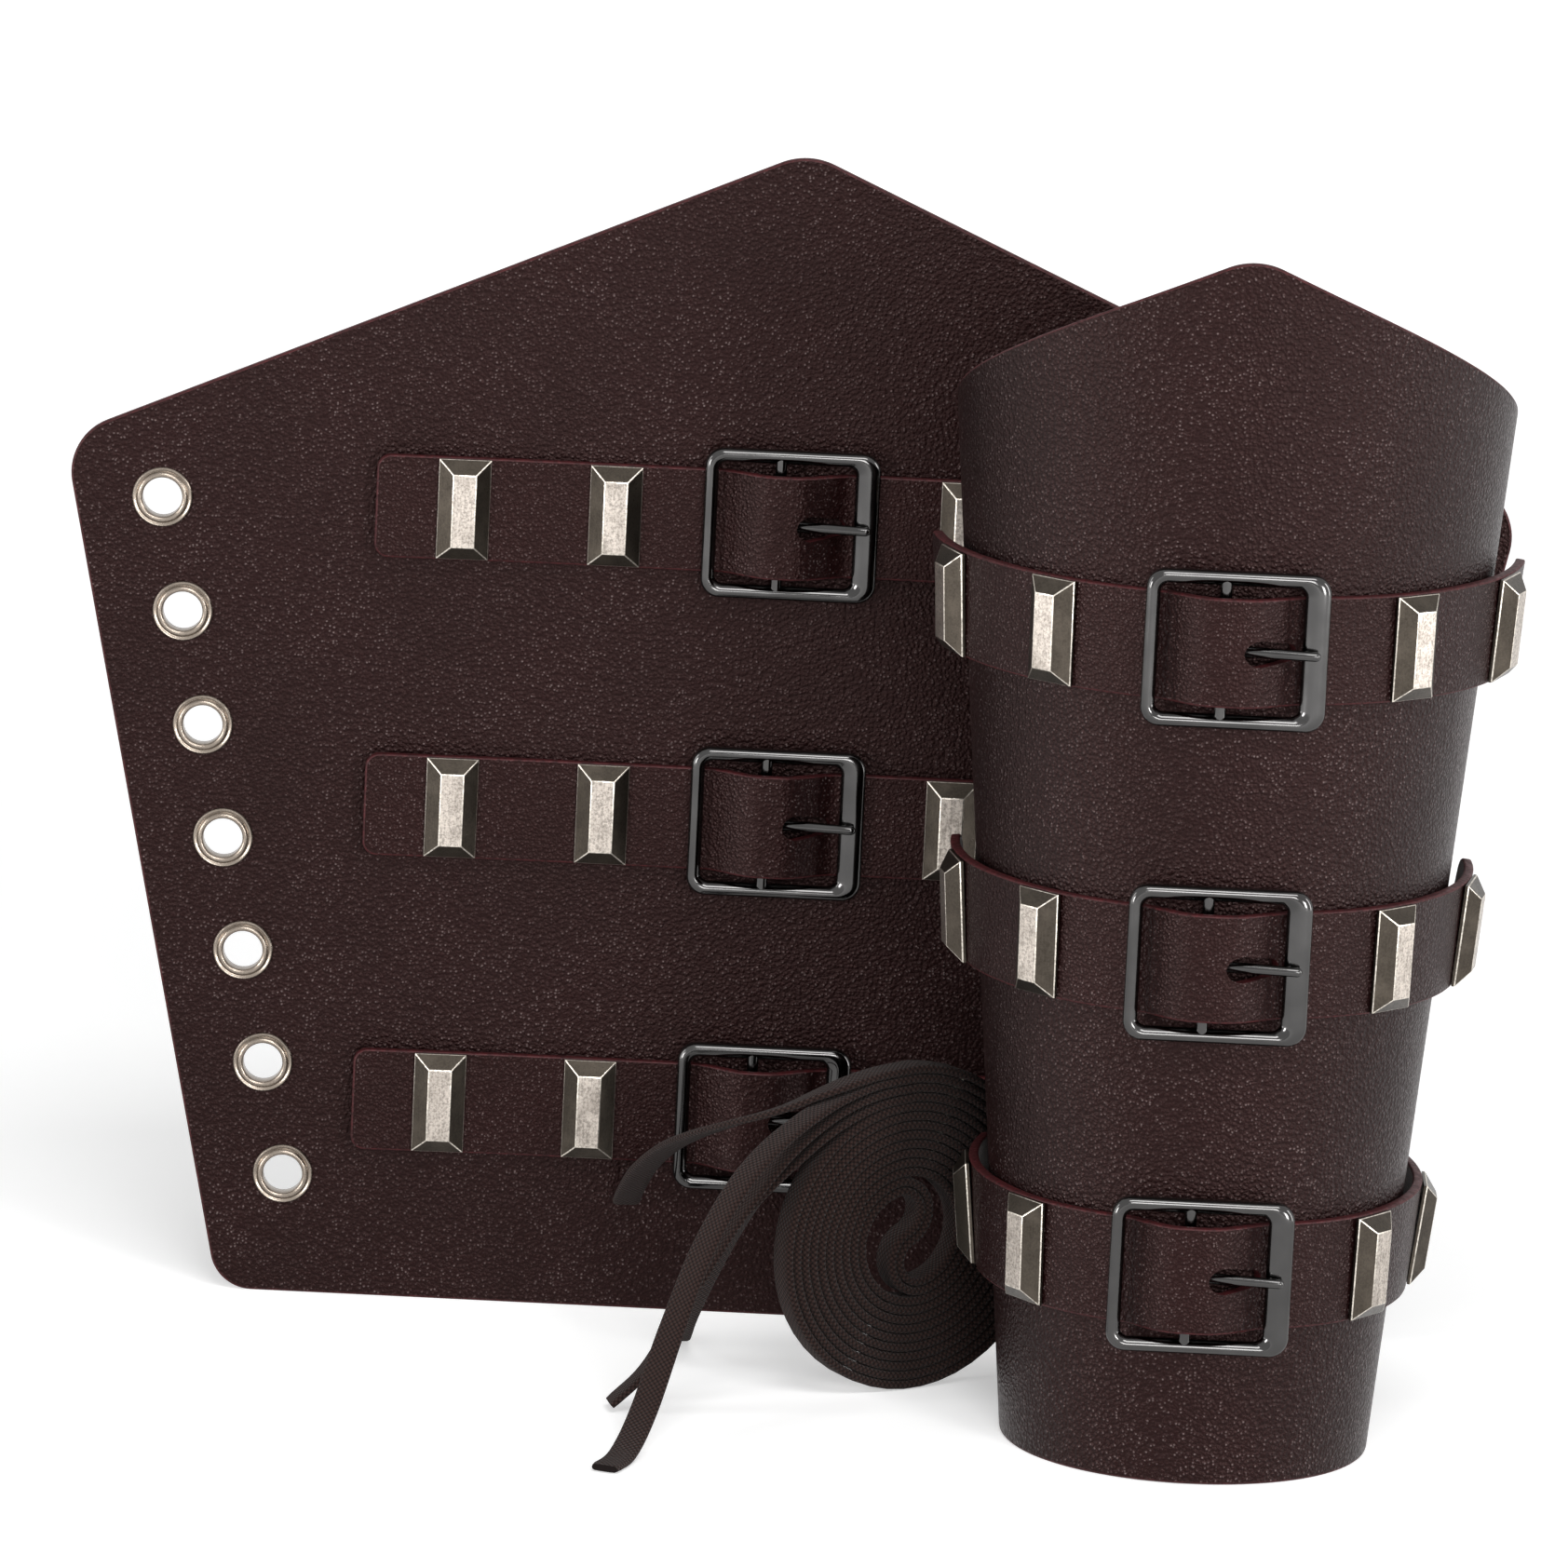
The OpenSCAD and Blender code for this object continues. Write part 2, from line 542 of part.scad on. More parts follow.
tail_b_short = [[0, 0, 62.7], [-10, 0, 61.6], [-20, 0, 57.2], [-29, -3, 48], [-35.5, -9, 36],
                [-37.5, -18, 23], [-35, -29, 11.5], [-29, -41, 3.5], [-22, -53, 1]];
tail_steps = 3;
function curve_point(a, b, c, d, u) =
    0.5 * (2 * b + (c - a) * u + (2 * a - 5 * b + 4 * c - d) * u * u + (3 * b - a - 3 * c + d) * u * u * u);
function curve_through(list) = [for (i = [0 : len(list) - 2], k = [0 : tail_steps - 1])
        curve_point(i == 0 ? 2 * list[0] - list[1] : list[i - 1], list[i], list[i + 1],
                    i + 2 < len(list) ? list[i + 2] : 2 * list[i + 1] - list[i], k / tail_steps),
    list[len(list) - 1]];
function tail_line(list, start_r) = [for (i = [0 : len(list) - 1])
    let (p = i == 0 ? [0, 0, coil_z + start_r] : list[i]) coil_place([p[0], p[2] - coil_z], p[1])];
module tail(list, start_r) {
    line = curve_through(tail_line(list, start_r));
    last = len(line) - 1;
    facing = [sin(coil_turn), -cos(coil_turn), 0];
    ring_solid([for (i = [0 : last]) let (
            t = i == 0 ? [-cos(coil_turn), -sin(coil_turn), 0] : unit(line[min(i + 1, last)] - line[i - 1]),
            wide = i == 0 ? facing : unit(cross([0, 0, 1], t)), thick = cross(t, wide))
        [for (q = lace_section) line[i] + wide * q[0] * lace_w - thick * q[1] * lace_t]]);
}
module lace_a_coil() { color(lace_brown) coiled_lace(-1); }
module lace_b_coil() { color(lace_brown) coiled_lace(1); }
module lace_a_tails() {
    color(lace_brown) {
        tail(tail_a_long, arm_r(arm_turns[0], -1));
        tail(tail_a_short, arm_r(arm_turns[1], 1));
    }
}
module lace_b_tails() {
    color(lace_brown) {
        tail(tail_b_long, arm_r(arm_turns[0], 1));
        tail(tail_b_short, arm_r(arm_turns[1], -1));
    }
}
// The least distance between strands: from each point of a lace's line to the other lace, and to its own
// turns half a loop or more away.
function least_apart(list, other, skip) = min([for (i = [0 : 2 : len(list) - 1], j = [0 : len(other) - 1])
    if (abs(i - j) > skip) norm(list[i] - other[j])]);
least_own_gap = least_apart(coil_line(-1), coil_line(-1), loop_steps / 2) - lace_t;
echo(least_gap_of_a_lace_to_itself = least_own_gap,
     least_gap_between_laces = strand_pitch - lace_t, coil_height = coil_z + arm_r(arm_turns[0], 1) + lace_t / 2);

guard_body(false);  // open_body
eyelet_row(false, -1);  // open_eyelets_left
washer_row(false, -1);  // open_washers_left
eyelet_row(false, 1);  // open_eyelets_right
washer_row(false, 1);  // open_washers_right
guard_strap(false, strap_zs[0]);  // open_strap_bottom
guard_strap(false, strap_zs[1]);  // open_strap_middle
guard_strap(false, strap_zs[2]);  // open_strap_top
stud_set(false, strap_zs[0]);  // open_studs_bottom
stud_set(false, strap_zs[1]);  // open_studs_middle
stud_set(false, strap_zs[2]);  // open_studs_top
buckle(false, strap_zs[0]);  // open_buckle_bottom
buckle(false, strap_zs[1]);  // open_buckle_middle
buckle(false, strap_zs[2]);  // open_buckle_top
prong(false, strap_zs[0]);  // open_prong_bottom
prong(false, strap_zs[1]);  // open_prong_middle
prong(false, strap_zs[2]);  // open_prong_top
guard_body(true);  // rolled_body
eyelet_row(true, -1);  // rolled_eyelets_left
washer_row(true, -1);  // rolled_washers_left
eyelet_row(true, 1);  // rolled_eyelets_right
washer_row(true, 1);  // rolled_washers_right
guard_strap(true, strap_zs[0]);  // rolled_strap_bottom
guard_strap(true, strap_zs[1]);  // rolled_strap_middle
guard_strap(true, strap_zs[2]);  // rolled_strap_top
stud_set(true, strap_zs[0]);  // rolled_studs_bottom
stud_set(true, strap_zs[1]);  // rolled_studs_middle
stud_set(true, strap_zs[2]);  // rolled_studs_top
buckle(true, strap_zs[0]);  // rolled_buckle_bottom
buckle(true, strap_zs[1]);  // rolled_buckle_middle
buckle(true, strap_zs[2]);  // rolled_buckle_top
prong(true, strap_zs[0]);  // rolled_prong_bottom
prong(true, strap_zs[1]);  // rolled_prong_middle
prong(true, strap_zs[2]);  // rolled_prong_top
lace_a_coil();
lace_a_tails();
lace_b_coil();
lace_b_tails();
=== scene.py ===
import math

import bmesh
import bpy
from bpy.props import FloatProperty, FloatVectorProperty, IntProperty, PointerProperty
from mathutils import Matrix, Vector


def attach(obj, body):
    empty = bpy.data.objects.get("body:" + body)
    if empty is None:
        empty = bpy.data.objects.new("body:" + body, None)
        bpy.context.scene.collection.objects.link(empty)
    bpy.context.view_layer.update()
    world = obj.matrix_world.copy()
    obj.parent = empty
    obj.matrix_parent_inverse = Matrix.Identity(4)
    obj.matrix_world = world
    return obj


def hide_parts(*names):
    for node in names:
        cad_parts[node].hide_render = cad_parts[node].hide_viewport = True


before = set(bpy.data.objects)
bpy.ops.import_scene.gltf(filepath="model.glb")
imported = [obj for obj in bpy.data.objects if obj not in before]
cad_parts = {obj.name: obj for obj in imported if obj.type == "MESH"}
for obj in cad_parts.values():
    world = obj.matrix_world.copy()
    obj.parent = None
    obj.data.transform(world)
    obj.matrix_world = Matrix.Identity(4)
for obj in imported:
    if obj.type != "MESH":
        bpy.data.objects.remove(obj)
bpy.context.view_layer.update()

bl_info = {
    "name": "Pair of arm guards",
    "version": (1, 0, 0),
    "blender": (4, 5, 0),
    "location": "3D View > Sidebar > Arm guards",
    "description": "Dresses two studded leather arm guards and their laces on a packed model",
    "category": "Object",
}

SEAT_GAP = 0.0003        # between parts that lie on each other
SNUG_GAP = 0.0003        # between metal and the leather it is threaded through
RUNNING_FIT = 0.00006    # between the centre bar and the prong's eye
HAIR = 0.0001            # the smallest step or rounding that is drawn
THROUGH = 0.01           # half the depth of a cutter
OUTWARD = Matrix.Rotation(math.radians(90), 4, "X")     # turns a part's Z out of the leather
LEVELS = ("bottom", "middle", "top")
SIDES = ("left", "right")
GUARDS = (("open", False), ("rolled", True))
BODY = "guards"


# Sizes and colours that a user would change. Each is labelled with its own name.

def labelled(owner):
    """Turns a class's annotations, each a kind of property and its settings, into properties."""
    for name, (kind, settings) in owner.__annotations__.items():
        label = name.replace("_", " ").capitalize()
        owner.__annotations__[name] = kind(name=label, **settings)
    return owner


def setting(kind, default, description, **rest):
    return kind, {"default": default, "description": description, **rest}


def length(millimetres, description):
    return setting(FloatProperty, millimetres / 1000, description, min=0.0, unit="LENGTH",
                   precision=5)


def angle(degrees, description):
    return setting(FloatProperty, math.radians(degrees), description, subtype="ANGLE")


def share(value, description):
    return setting(FloatProperty, value, description, min=0.0, subtype="FACTOR")


def number(value, description):
    return setting(IntProperty, value, description, min=1)


def colour(value, description):
    return setting(FloatVectorProperty, value, description, min=0.0, max=1.0, size=3,
                   subtype="COLOR")


def group(kind, description):
    return PointerProperty, {"type": kind, "description": description}


@labelled
class LeatherSizes(bpy.types.PropertyGroup):
    length: length(250, "Wrist edge to point")
    wrist_width: length(230, "Width of the flat cut at the wrist edge")
    side_slope: share(0.212, "How much each side edge leans out with height")
    point_slope: share(0.442, "Fall of the two top edges from the point")
    thickness: length(2.2, "Thickness of the guard's leather")
    point_radius: length(14, "Radius of the rounded point")
    shoulder_radius: length(12, "Radius of the shoulder corners")
    wrist_radius: length(9, "Radius of the wrist corners")
    edge_round: length(0.45, "Rounding of the cut edges")


@labelled
class RollSizes(bpy.types.PropertyGroup):
    half_angle: angle(176, "How far round the arm the wrist corners reach")
    taper: share(0.09, "How much the rolled radius grows up the arm")
    lean: angle(6, "How far the rolled guard leans back")
    right: length(90, "How far to the right of the open guard it stands")
    stand_gap: length(9, "Between the open guard and the back of the rolled one")


@labelled
class EyeletSizes(bpy.types.PropertyGroup):
    count: number(7, "Eyelets down each side edge")
    bore_radius: length(4.2, "Radius of the hole that the lace goes through")
    flange_radius: length(6.4, "Radius of the flange")
    flange_height: length(1.1, "Height of the flange over the leather")
    wall: length(0.4, "Wall of the barrel")
    washer: length(0.5, "Thickness of the washer behind the leather")
    barrel_out: length(0.3, "How far the barrel comes through the washer")
    inset: length(18.3, "Distance of the eyelets from the side edge")
    lowest: length(26, "Height of the lowest eyelet")
    pitch: length(24.8, "Spacing of the eyelets up the edge")


@labelled
class StrapSizes(bpy.types.PropertyGroup):
    width: length(22, "Width of a strap")
    length: length(175, "Length of a strap")
    thickness: length(2, "Thickness of a strap")
    lowest: length(44, "Height of the bottom strap's middle")
    pitch: length(64.3, "Spacing of the three straps")
    corner: length(3, "Radius of a strap's corners")
    lift_from: length(45, "Where a strap starts to leave the guard")
    open_lift: length(1.6, "How far strap ends lift off the open guard")
    rolled_lift: length(4.2, "How far strap ends spring off the rolled guard")
    edge_round: length(0.4, "Rounding of the cut edges")
    slot_mouth: length(5.4, "Width of the slot where the prong comes through")


@labelled
class StudSizes(bpy.types.PropertyGroup):
    width: length(11, "Width of a stud along the strap")
    length: length(21.4, "Length of a stud across the strap")
    height: length(3.4, "Height of a stud")
    top_width: length(4.8, "Width of the flat on top")
    top_length: length(15.4, "Length of the flat on top")
    rim: length(0.7, "Height of the straight rim")
    inner: length(37, "Distance of the inner studs from the strap's middle")
    outer: length(69, "Distance of the outer studs from the strap's middle")
    wear: length(0.16, "Width of the worn edges")


@labelled
class BuckleSizes(bpy.types.PropertyGroup):
    width: length(37, "Outer width along the strap")
    height: length(32, "Outer height across the strap")
    thickness: length(2.8, "Thickness of the frame")
    rail: length(2.9, "Width of the three narrow sides")
    rest: length(5.2, "Width of the side that the prong rests on")
    corner: length(4, "Outer corner radius")
    inner_corner: length(1.7, "Inner corner radius")
    bar_off: length(2.5, "Distance of the centre bar from the middle")
    bar_radius: length(1.2, "Radius of the centre bar")
    eye_wall: length(1.2, "Wall of the prong's eye")
    shank_radius: length(1.1, "Half thickness of the prong")
    prong: length(19.6, "Reach of the prong's tip from the bar")


@labelled
class LaceSizes(bpy.types.PropertyGroup):
    width: length(6, "Width of the flat lace")
    thickness: length(1.5, "Thickness of the flat lace")
    pitch: length(2, "Radial pitch of the strands in the coil")
    turns: number(3, "Turns of the longer arm of the coil")
    bend: length(5.75, "Radius of the two bends in the middle")
    start: angle(25, "How far the middle of the coil is turned")
    turn: angle(33, "How far the coil's face is turned from the viewer")
    right: length(31, "Where the coil stands, to the right")
    before: length(28, "How far the coil stands behind the rolled guard's middle")


@labelled
class Colours(bpy.types.PropertyGroup):
    guard_dark: colour((0.0026, 0.0006, 0.0006), "Hollows of the guards' grain")
    guard_light: colour((0.0090, 0.0024, 0.0024), "Domes of the guards' grain")
    strap_dark: colour((0.0035, 0.0007, 0.0007), "Hollows of the straps' grain")
    strap_light: colour((0.0115, 0.0028, 0.0028), "Domes of the straps' grain")
    # Painted highlight: the colour painted on the grain's crowns where glints of light would be.
    crown: colour((0.190, 0.150, 0.145), "Crowns of the grain that catch the light")
    edge: colour((0.055, 0.0085, 0.010), "Stained edges of the leather")
    back: colour((0.060, 0.033, 0.024), "Back of the leather")
    gunmetal: colour((0.080, 0.078, 0.077), "Buckles and prongs")
    nickel: colour((0.290, 0.245, 0.205), "Eyelets and washers")
    pewter: colour((0.560, 0.500, 0.445), "Flats of the studs")
    # Partly dark oxide and partly painted shade on the sloping sides.
    patina: colour((0.062, 0.052, 0.042), "Sloping sides of the studs")
    worn: colour((0.740, 0.680, 0.600), "Rubbed edges of the studs")
    lace_dark: colour((0.0048, 0.0023, 0.0021), "Between the lace's yarns")
    lace_light: colour((0.0350, 0.0190, 0.0160), "Crowns of the lace's yarns")


@labelled
class StudioSizes(bpy.types.PropertyGroup):
    distance: length(2088.7, "Camera to the point that it looks at")
    focal_length: setting(FloatProperty, 235.2, "The camera's lens", min=1.0, unit="CAMERA")
    pitch: angle(11.75, "How far the camera looks down")
    roll: angle(2.79, "How far the camera is turned about its view")
    look_right: length(1.26, "The point that the camera looks at, to the right")
    look_up: length(133.3, "The point that the camera looks at, above the floor")
    world: share(0.2, "How strongly the room lights the object")


@labelled
class ArmGuards(bpy.types.PropertyGroup):
    leather: group(LeatherSizes, "The flat cut")
    roll: group(RollSizes, "The rolled guard")
    eyelet: group(EyeletSizes, "Eyelets and washers")
    strap: group(StrapSizes, "The straps")
    stud: group(StudSizes, "The studs")
    buckle: group(BuckleSizes, "Buckles and prongs")
    lace: group(LaceSizes, "The two laces")
    colours: group(Colours, "Colours of the finishes")
    studio: group(StudioSizes, "Camera and light")


# The flat cut, and where its points come to lie on the open and on the rolled guard.

def rounded_corner(corner, before, after, radius, steps):
    to_before, to_after = (before - corner).normalized(), (after - corner).normalized()
    half = to_before.angle(to_after) / 2
    centre = corner + (to_before + to_after).normalized() * radius / math.sin(half)
    first = corner + to_before * radius / math.tan(half) - centre
    last = corner + to_after * radius / math.tan(half) - centre
    turn = math.atan2(first.x * last.y - first.y * last.x, first.dot(last))
    return [centre + Matrix.Rotation(turn * i / steps, 2) @ first for i in range(steps + 1)]


def rounded_outline(corners, radii, steps):
    """The outline through the corners, anticlockwise, with each one rounded."""
    around = [Vector(p) for p in (corners[-1], *corners, corners[0])]
    return [p for before, corner, after, radius in zip(around, around[1:], around[2:], radii)
            for p in rounded_corner(corner, before, after, radius, steps)]


def box_corners(left, right, low, high):
    return (left, low), (right, low), (right, high), (left, high)


def circle(radius, steps, x=0.0, y=0.0):
    turns = [2 * math.pi * i / steps for i in range(steps)]
    return [(x + radius * math.cos(a), y + radius * math.sin(a)) for a in turns]


def smooth_step(u):
    v = max(0.0, min(1.0, u))
    return v * v * (3 - 2 * v)


class Layout:
    """The sizes that follow from the chosen ones, and the places of every part."""

    frame_gap = 0.0002          # between a strap and the buckle frame over it
    rolled_seat = 0.001         # the rolled guard falls away below a buckle, so it sits closer
    arch_back, arch_on = 0.001, 0.003   # the arch is full from here to there, from the bar
    washer_in = 0.0006          # a washer is this much smaller than the flange
    rim_steps, skin_steps = 40, 8       # for measuring the rolled guard

    def __init__(self, sizes):
        self.sizes = sizes
        leather, roll, strap, buckle = sizes.leather, sizes.roll, sizes.strap, sizes.buckle
        self.half = leather.thickness / 2
        self.wrist = leather.wrist_width / 2
        self.strap_mid = self.half + SEAT_GAP + strap.thickness / 2
        self.strap_half = strap.length / 2
        self.eye = buckle.bar_radius + RUNNING_FIT + buckle.eye_wall
        self.bar_x = -buckle.bar_off
        self.sine = roll.taper
        self.cosine = math.sqrt(1 - roll.taper ** 2)
        self.tip = self.wrist / math.tan(roll.half_angle * roll.taper)
        self.strap_zs = [strap.lowest + i * strap.pitch for i in range(len(LEVELS))]
        self.edge_cos = math.cos(math.atan(leather.side_slope))
        steps = range(-self.rim_steps, self.rim_steps + 1)
        rim = [(self.wrist * i / self.rim_steps, 0) for i in steps]
        self.rim_drop = -min(p.z for p in self.rolled_skin(rim))
        roll_back = max(p.y for p in self.rolled_skin(self.outline(self.skin_steps)))
        self.roll_y = self.half + roll.stand_gap + roll_back
        front = self.bar_height(True) + self.eye + SNUG_GAP + strap.thickness
        roll_front = -self.leaned(self.on_cone(0, strap.lowest - strap.width / 2, front)).y
        back_reach = self.half + sizes.eyelet.washer + sizes.eyelet.barrel_out
        self.back_y = (self.roll_y + roll_front - back_reach) / 2
        self.roll_at = Vector((roll.right, self.back_y - self.roll_y, self.rim_drop))

    def outline(self, steps):
        leather = self.sizes.leather
        point_z = leather.length + leather.point_radius * (math.hypot(1, leather.point_slope) - 1)
        shoulder_z = ((point_z - leather.point_slope * self.wrist)
                      / (1 + leather.point_slope * leather.side_slope))
        shoulder_x = self.wrist + leather.side_slope * shoulder_z
        corners = ((-self.wrist, 0), (self.wrist, 0), (shoulder_x, shoulder_z), (0, point_z),
                   (-shoulder_x, shoulder_z))
        radii = (leather.wrist_radius, leather.wrist_radius, leather.shoulder_radius,
                 leather.point_radius, leather.shoulder_radius)
        return rounded_outline(corners, radii, steps)

    def on_cone(self, x, z, h):
        along = math.hypot(x, z + self.tip)
        turn = math.atan2(x, z + self.tip) / self.sine
        r = along * self.sine + h * self.cosine
        return Vector((r * math.sin(turn), -r * math.cos(turn),
                       (along - self.tip) * self.cosine - h * self.sine))

    def leaned(self, p):
        return Matrix.Rotation(-self.sizes.roll.lean, 3, "X") @ p

    def rolled_skin(self, points):
        """Both faces of the rolled leather at those points, about its own axis."""
        return [self.leaned(self.on_cone(x, z, h)) for x, z in points
                for h in (-self.half, self.half)]

    def point(self, rolled, x, z, h):
        """Where a point of the flat cut, h in front of the leather's middle, comes to lie."""
        if rolled:
            return self.leaned(self.on_cone(x, z, h)) + self.roll_at
        return Vector((x, self.back_y - h, z))

    def place(self, rolled, x, z):
        """The matrix that puts a part there, X and Z along the leather and -Y out of it."""
        if not rolled:
            return Matrix.Translation((x, self.back_y, z))
        along, aside = math.hypot(x, z + self.tip), math.atan2(x, z + self.tip)
        out = Matrix.Translation((0, -along * self.sine, (along - self.tip) * self.cosine))
        return (Matrix.Translation(self.roll_at)
                @ Matrix.Rotation(-self.sizes.roll.lean, 4, "X")
                @ Matrix.Rotation(aside / self.sine, 4, "Z") @ out
                @ Matrix.Rotation(math.asin(self.sine), 4, "X")
                @ Matrix.Rotation(-aside, 4, "Y"))

    def bar_height(self, rolled):
        """Height of a buckle's middle over the leather's."""
        return (self.strap_mid + self.sizes.strap.thickness / 2 + self.frame_gap
                + self.sizes.buckle.thickness / 2 - (self.rolled_seat if rolled else 0))

    def strap_height(self, rolled, s):
        """Height of a strap's middle: over the bar, under both rails, lifting at its ends."""
        strap, buckle = self.sizes.strap, self.sizes.buckle
        rise = (-buckle.width / 2 + buckle.rail + 2 * SEAT_GAP, self.bar_x - self.arch_back)
        fall = (self.bar_x + self.arch_on, buckle.width / 2 - buckle.rest - SEAT_GAP)
        arch = (smooth_step((s - rise[0]) / (rise[1] - rise[0]))
                * (1 - smooth_step((s - fall[0]) / (fall[1] - fall[0]))))
        crest = self.bar_height(rolled) + self.eye + SNUG_GAP + strap.thickness / 2
        away = max(0.0, abs(s) - strap.lift_from) / (self.strap_half - strap.lift_from)
        lift = (strap.rolled_lift if rolled else strap.open_lift) * away ** 1.5
        return self.strap_mid + (crest - self.strap_mid) * arch + lift

    def strap_slope(self, rolled, s):
        step = 0.00005
        rise = self.strap_height(rolled, s + step) - self.strap_height(rolled, s - step)
        return rise / (2 * step)

    def on_strap(self, rolled, s, z):
        return (self.place(rolled, s, z)
                @ Matrix.Translation((0, -self.strap_height(rolled, s), 0))
                @ Matrix.Rotation(-math.atan(self.strap_slope(rolled, s)), 4, "Z"))

    def strap_point(self, rolled, s, z, out):
        """A point of the strap, out in front of its middle, square to it."""
        normal = Vector((-self.strap_slope(rolled, s), 1)).normalized() * out
        return self.point(rolled, s + normal.x, z, self.strap_height(rolled, s) + normal.y)

    def on_bar(self, rolled, z, x=0.0):
        """The matrix that puts a part at the height of a buckle's middle."""
        height = self.bar_height(rolled)
        return self.place(rolled, 0, z) @ Matrix.Translation((x, -height, 0))

    def eyelet_places(self):
        """Where the eyelets lie on the flat cut."""
        eyelet, slope = self.sizes.eyelet, self.sizes.leather.side_slope
        zs = [eyelet.lowest + i * eyelet.pitch * self.edge_cos for i in range(eyelet.count)]
        return [(side * (self.wrist + slope * z - eyelet.inset / self.edge_cos), z)
                for side in (-1, 1) for z in zs]

    def washer_off(self, rolled):
        """How far a flat washer stands off the hollow back of the rolled guard."""
        radius = self.sizes.eyelet.flange_radius - self.washer_in
        hollow = self.tip * self.sine - self.half
        return radius ** 2 / 2 / hollow + HAIR / 2 if rolled else 0.0


def layout():
    return Layout(bpy.context.scene.arm_guards)


# Meshes.

def link(name, data):
    made = bpy.data.objects.new(name, data)
    bpy.context.scene.collection.objects.link(made)
    return made


def shade(mesh, sharp_degrees):
    """Smooth faces, with sharp edges where they turn sharply or where the finish changes."""
    mesh.polygons.foreach_set("use_smooth", [True] * len(mesh.polygons))
    mesh.set_sharp_from_angle(angle=math.radians(sharp_degrees))
    finish_of = {}
    for face in mesh.polygons:
        for key in face.edge_keys:
            finish_of.setdefault(key, set()).add(face.material_index)
    sharp = (mesh.attributes.get("sharp_edge")
             or mesh.attributes.new("sharp_edge", "BOOLEAN", "EDGE"))
    for edge in mesh.edges:
        if len(finish_of.get(edge.key, ())) > 1:
            sharp.data[edge.index].value = True


def as_mesh(name, bm, materials=(), sharp_degrees=40):
    bmesh.ops.remove_doubles(bm, verts=bm.verts, dist=1e-7)
    bmesh.ops.recalc_face_normals(bm, faces=bm.faces)
    mesh = bpy.data.meshes.new(name)
    bm.to_mesh(mesh)
    bm.free()
    for material in materials:
        mesh.materials.append(material)
    shade(mesh, sharp_degrees)
    return mesh


def add_rings(bm, rings, closed=False):
    """A skin through rings of points, with its ends capped or, if closed, joined."""
    made = [[bm.verts.new(p) for p in ring] for ring in rings]
    sides = len(made[0])
    pairs = list(zip(made, made[1:])) + ([(made[-1], made[0])] if closed else [])
    faces = [bm.faces.new((a[j], a[(j + 1) % sides], b[(j + 1) % sides], b[j]))
             for a, b in pairs for j in range(sides)]
    if not closed:
        faces += [bm.faces.new(made[0][::-1]), bm.faces.new(made[-1])]
    return faces


def lathe(bm, profile, steps):
    """Turns a closed profile of (radius, height) about Z."""
    add_rings(bm, [[(r * c, r * s, h) for r, h in profile] for c, s in circle(1, steps)],
              closed=True)


def add_prism(bm, outline, low, high):
    """A solid between two copies of an outline."""
    add_rings(bm, [[(p[0], p[1], level) for p in outline] for level in (low, high)])


def rim_edges(bm, level):
    """The edges round the flat faces at that height."""
    return [e for e in bm.edges if len(e.link_faces) == 2
            and all(abs(v.co.z - level) < 1e-6 for v in e.verts)
            and min(abs(f.normal.z) for f in e.link_faces) < 0.5]


def cut_sheet(outline, thickness, rounding, planes):
    """A sheet with its edges rounded, cut by upright planes so that it can be bent."""
    bm = bmesh.new()
    add_prism(bm, outline, -thickness / 2, thickness / 2)
    bm.normal_update()
    edges = rim_edges(bm, -thickness / 2) + rim_edges(bm, thickness / 2)
    bmesh.ops.bevel(bm, geom=edges, offset=rounding, offset_type="OFFSET", segments=3,
                    profile=0.5, affect="EDGES", clamp_overlap=False)
    for at, normal in planes:
        bmesh.ops.bisect_plane(bm, geom=bm.verts[:] + bm.edges[:] + bm.faces[:], dist=1e-8,
                               plane_co=at, plane_no=normal)
    return bm


def evaluated(item):
    """The mesh that the item's modifiers make."""
    shown = item.evaluated_get(bpy.context.evaluated_depsgraph_get())
    return bpy.data.meshes.new_from_object(shown)


def without(bm, cutter):
    """The mesh less the cutter, both given as bmeshes in the flat."""
    parts = []
    for name, part in (("sheet", bm), ("cutter", cutter)):
        mesh = bpy.data.meshes.new(name)
        bmesh.ops.recalc_face_normals(part, faces=part.faces)
        part.to_mesh(mesh)
        part.free()
        parts.append(link(name, mesh))
    modifier = parts[0].modifiers.new("cut", "BOOLEAN")
    modifier.operation, modifier.solver, modifier.object = "DIFFERENCE", "EXACT", parts[1]
    made = bmesh.new()
    made.from_mesh(evaluated(parts[0]))
    for part in parts:
        bpy.data.objects.remove(part)
    return made


def laid_sheet(name, flat, where, grain):
    """A copy of a flat sheet, laid where it belongs: front, cut edge and back are finished."""
    bm = flat.copy()
    bm.normal_update()
    front, edge, back, facing = 0, 1, 2, 0.98
    for face in bm.faces:
        up = face.normal.z
        face.material_index = front if up > facing else back if up < -facing else edge
    for vert in bm.verts:
        vert.co = where(*vert.co)
    finishes = [finish(n) for n in (grain, "stained_edge", "flesh_side")]
    return link(name, as_mesh(name, bm, finishes))


def dressed(piece, slot, *nodes, body=BODY):
    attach(piece, body)
    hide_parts(*nodes)


# Finishes.

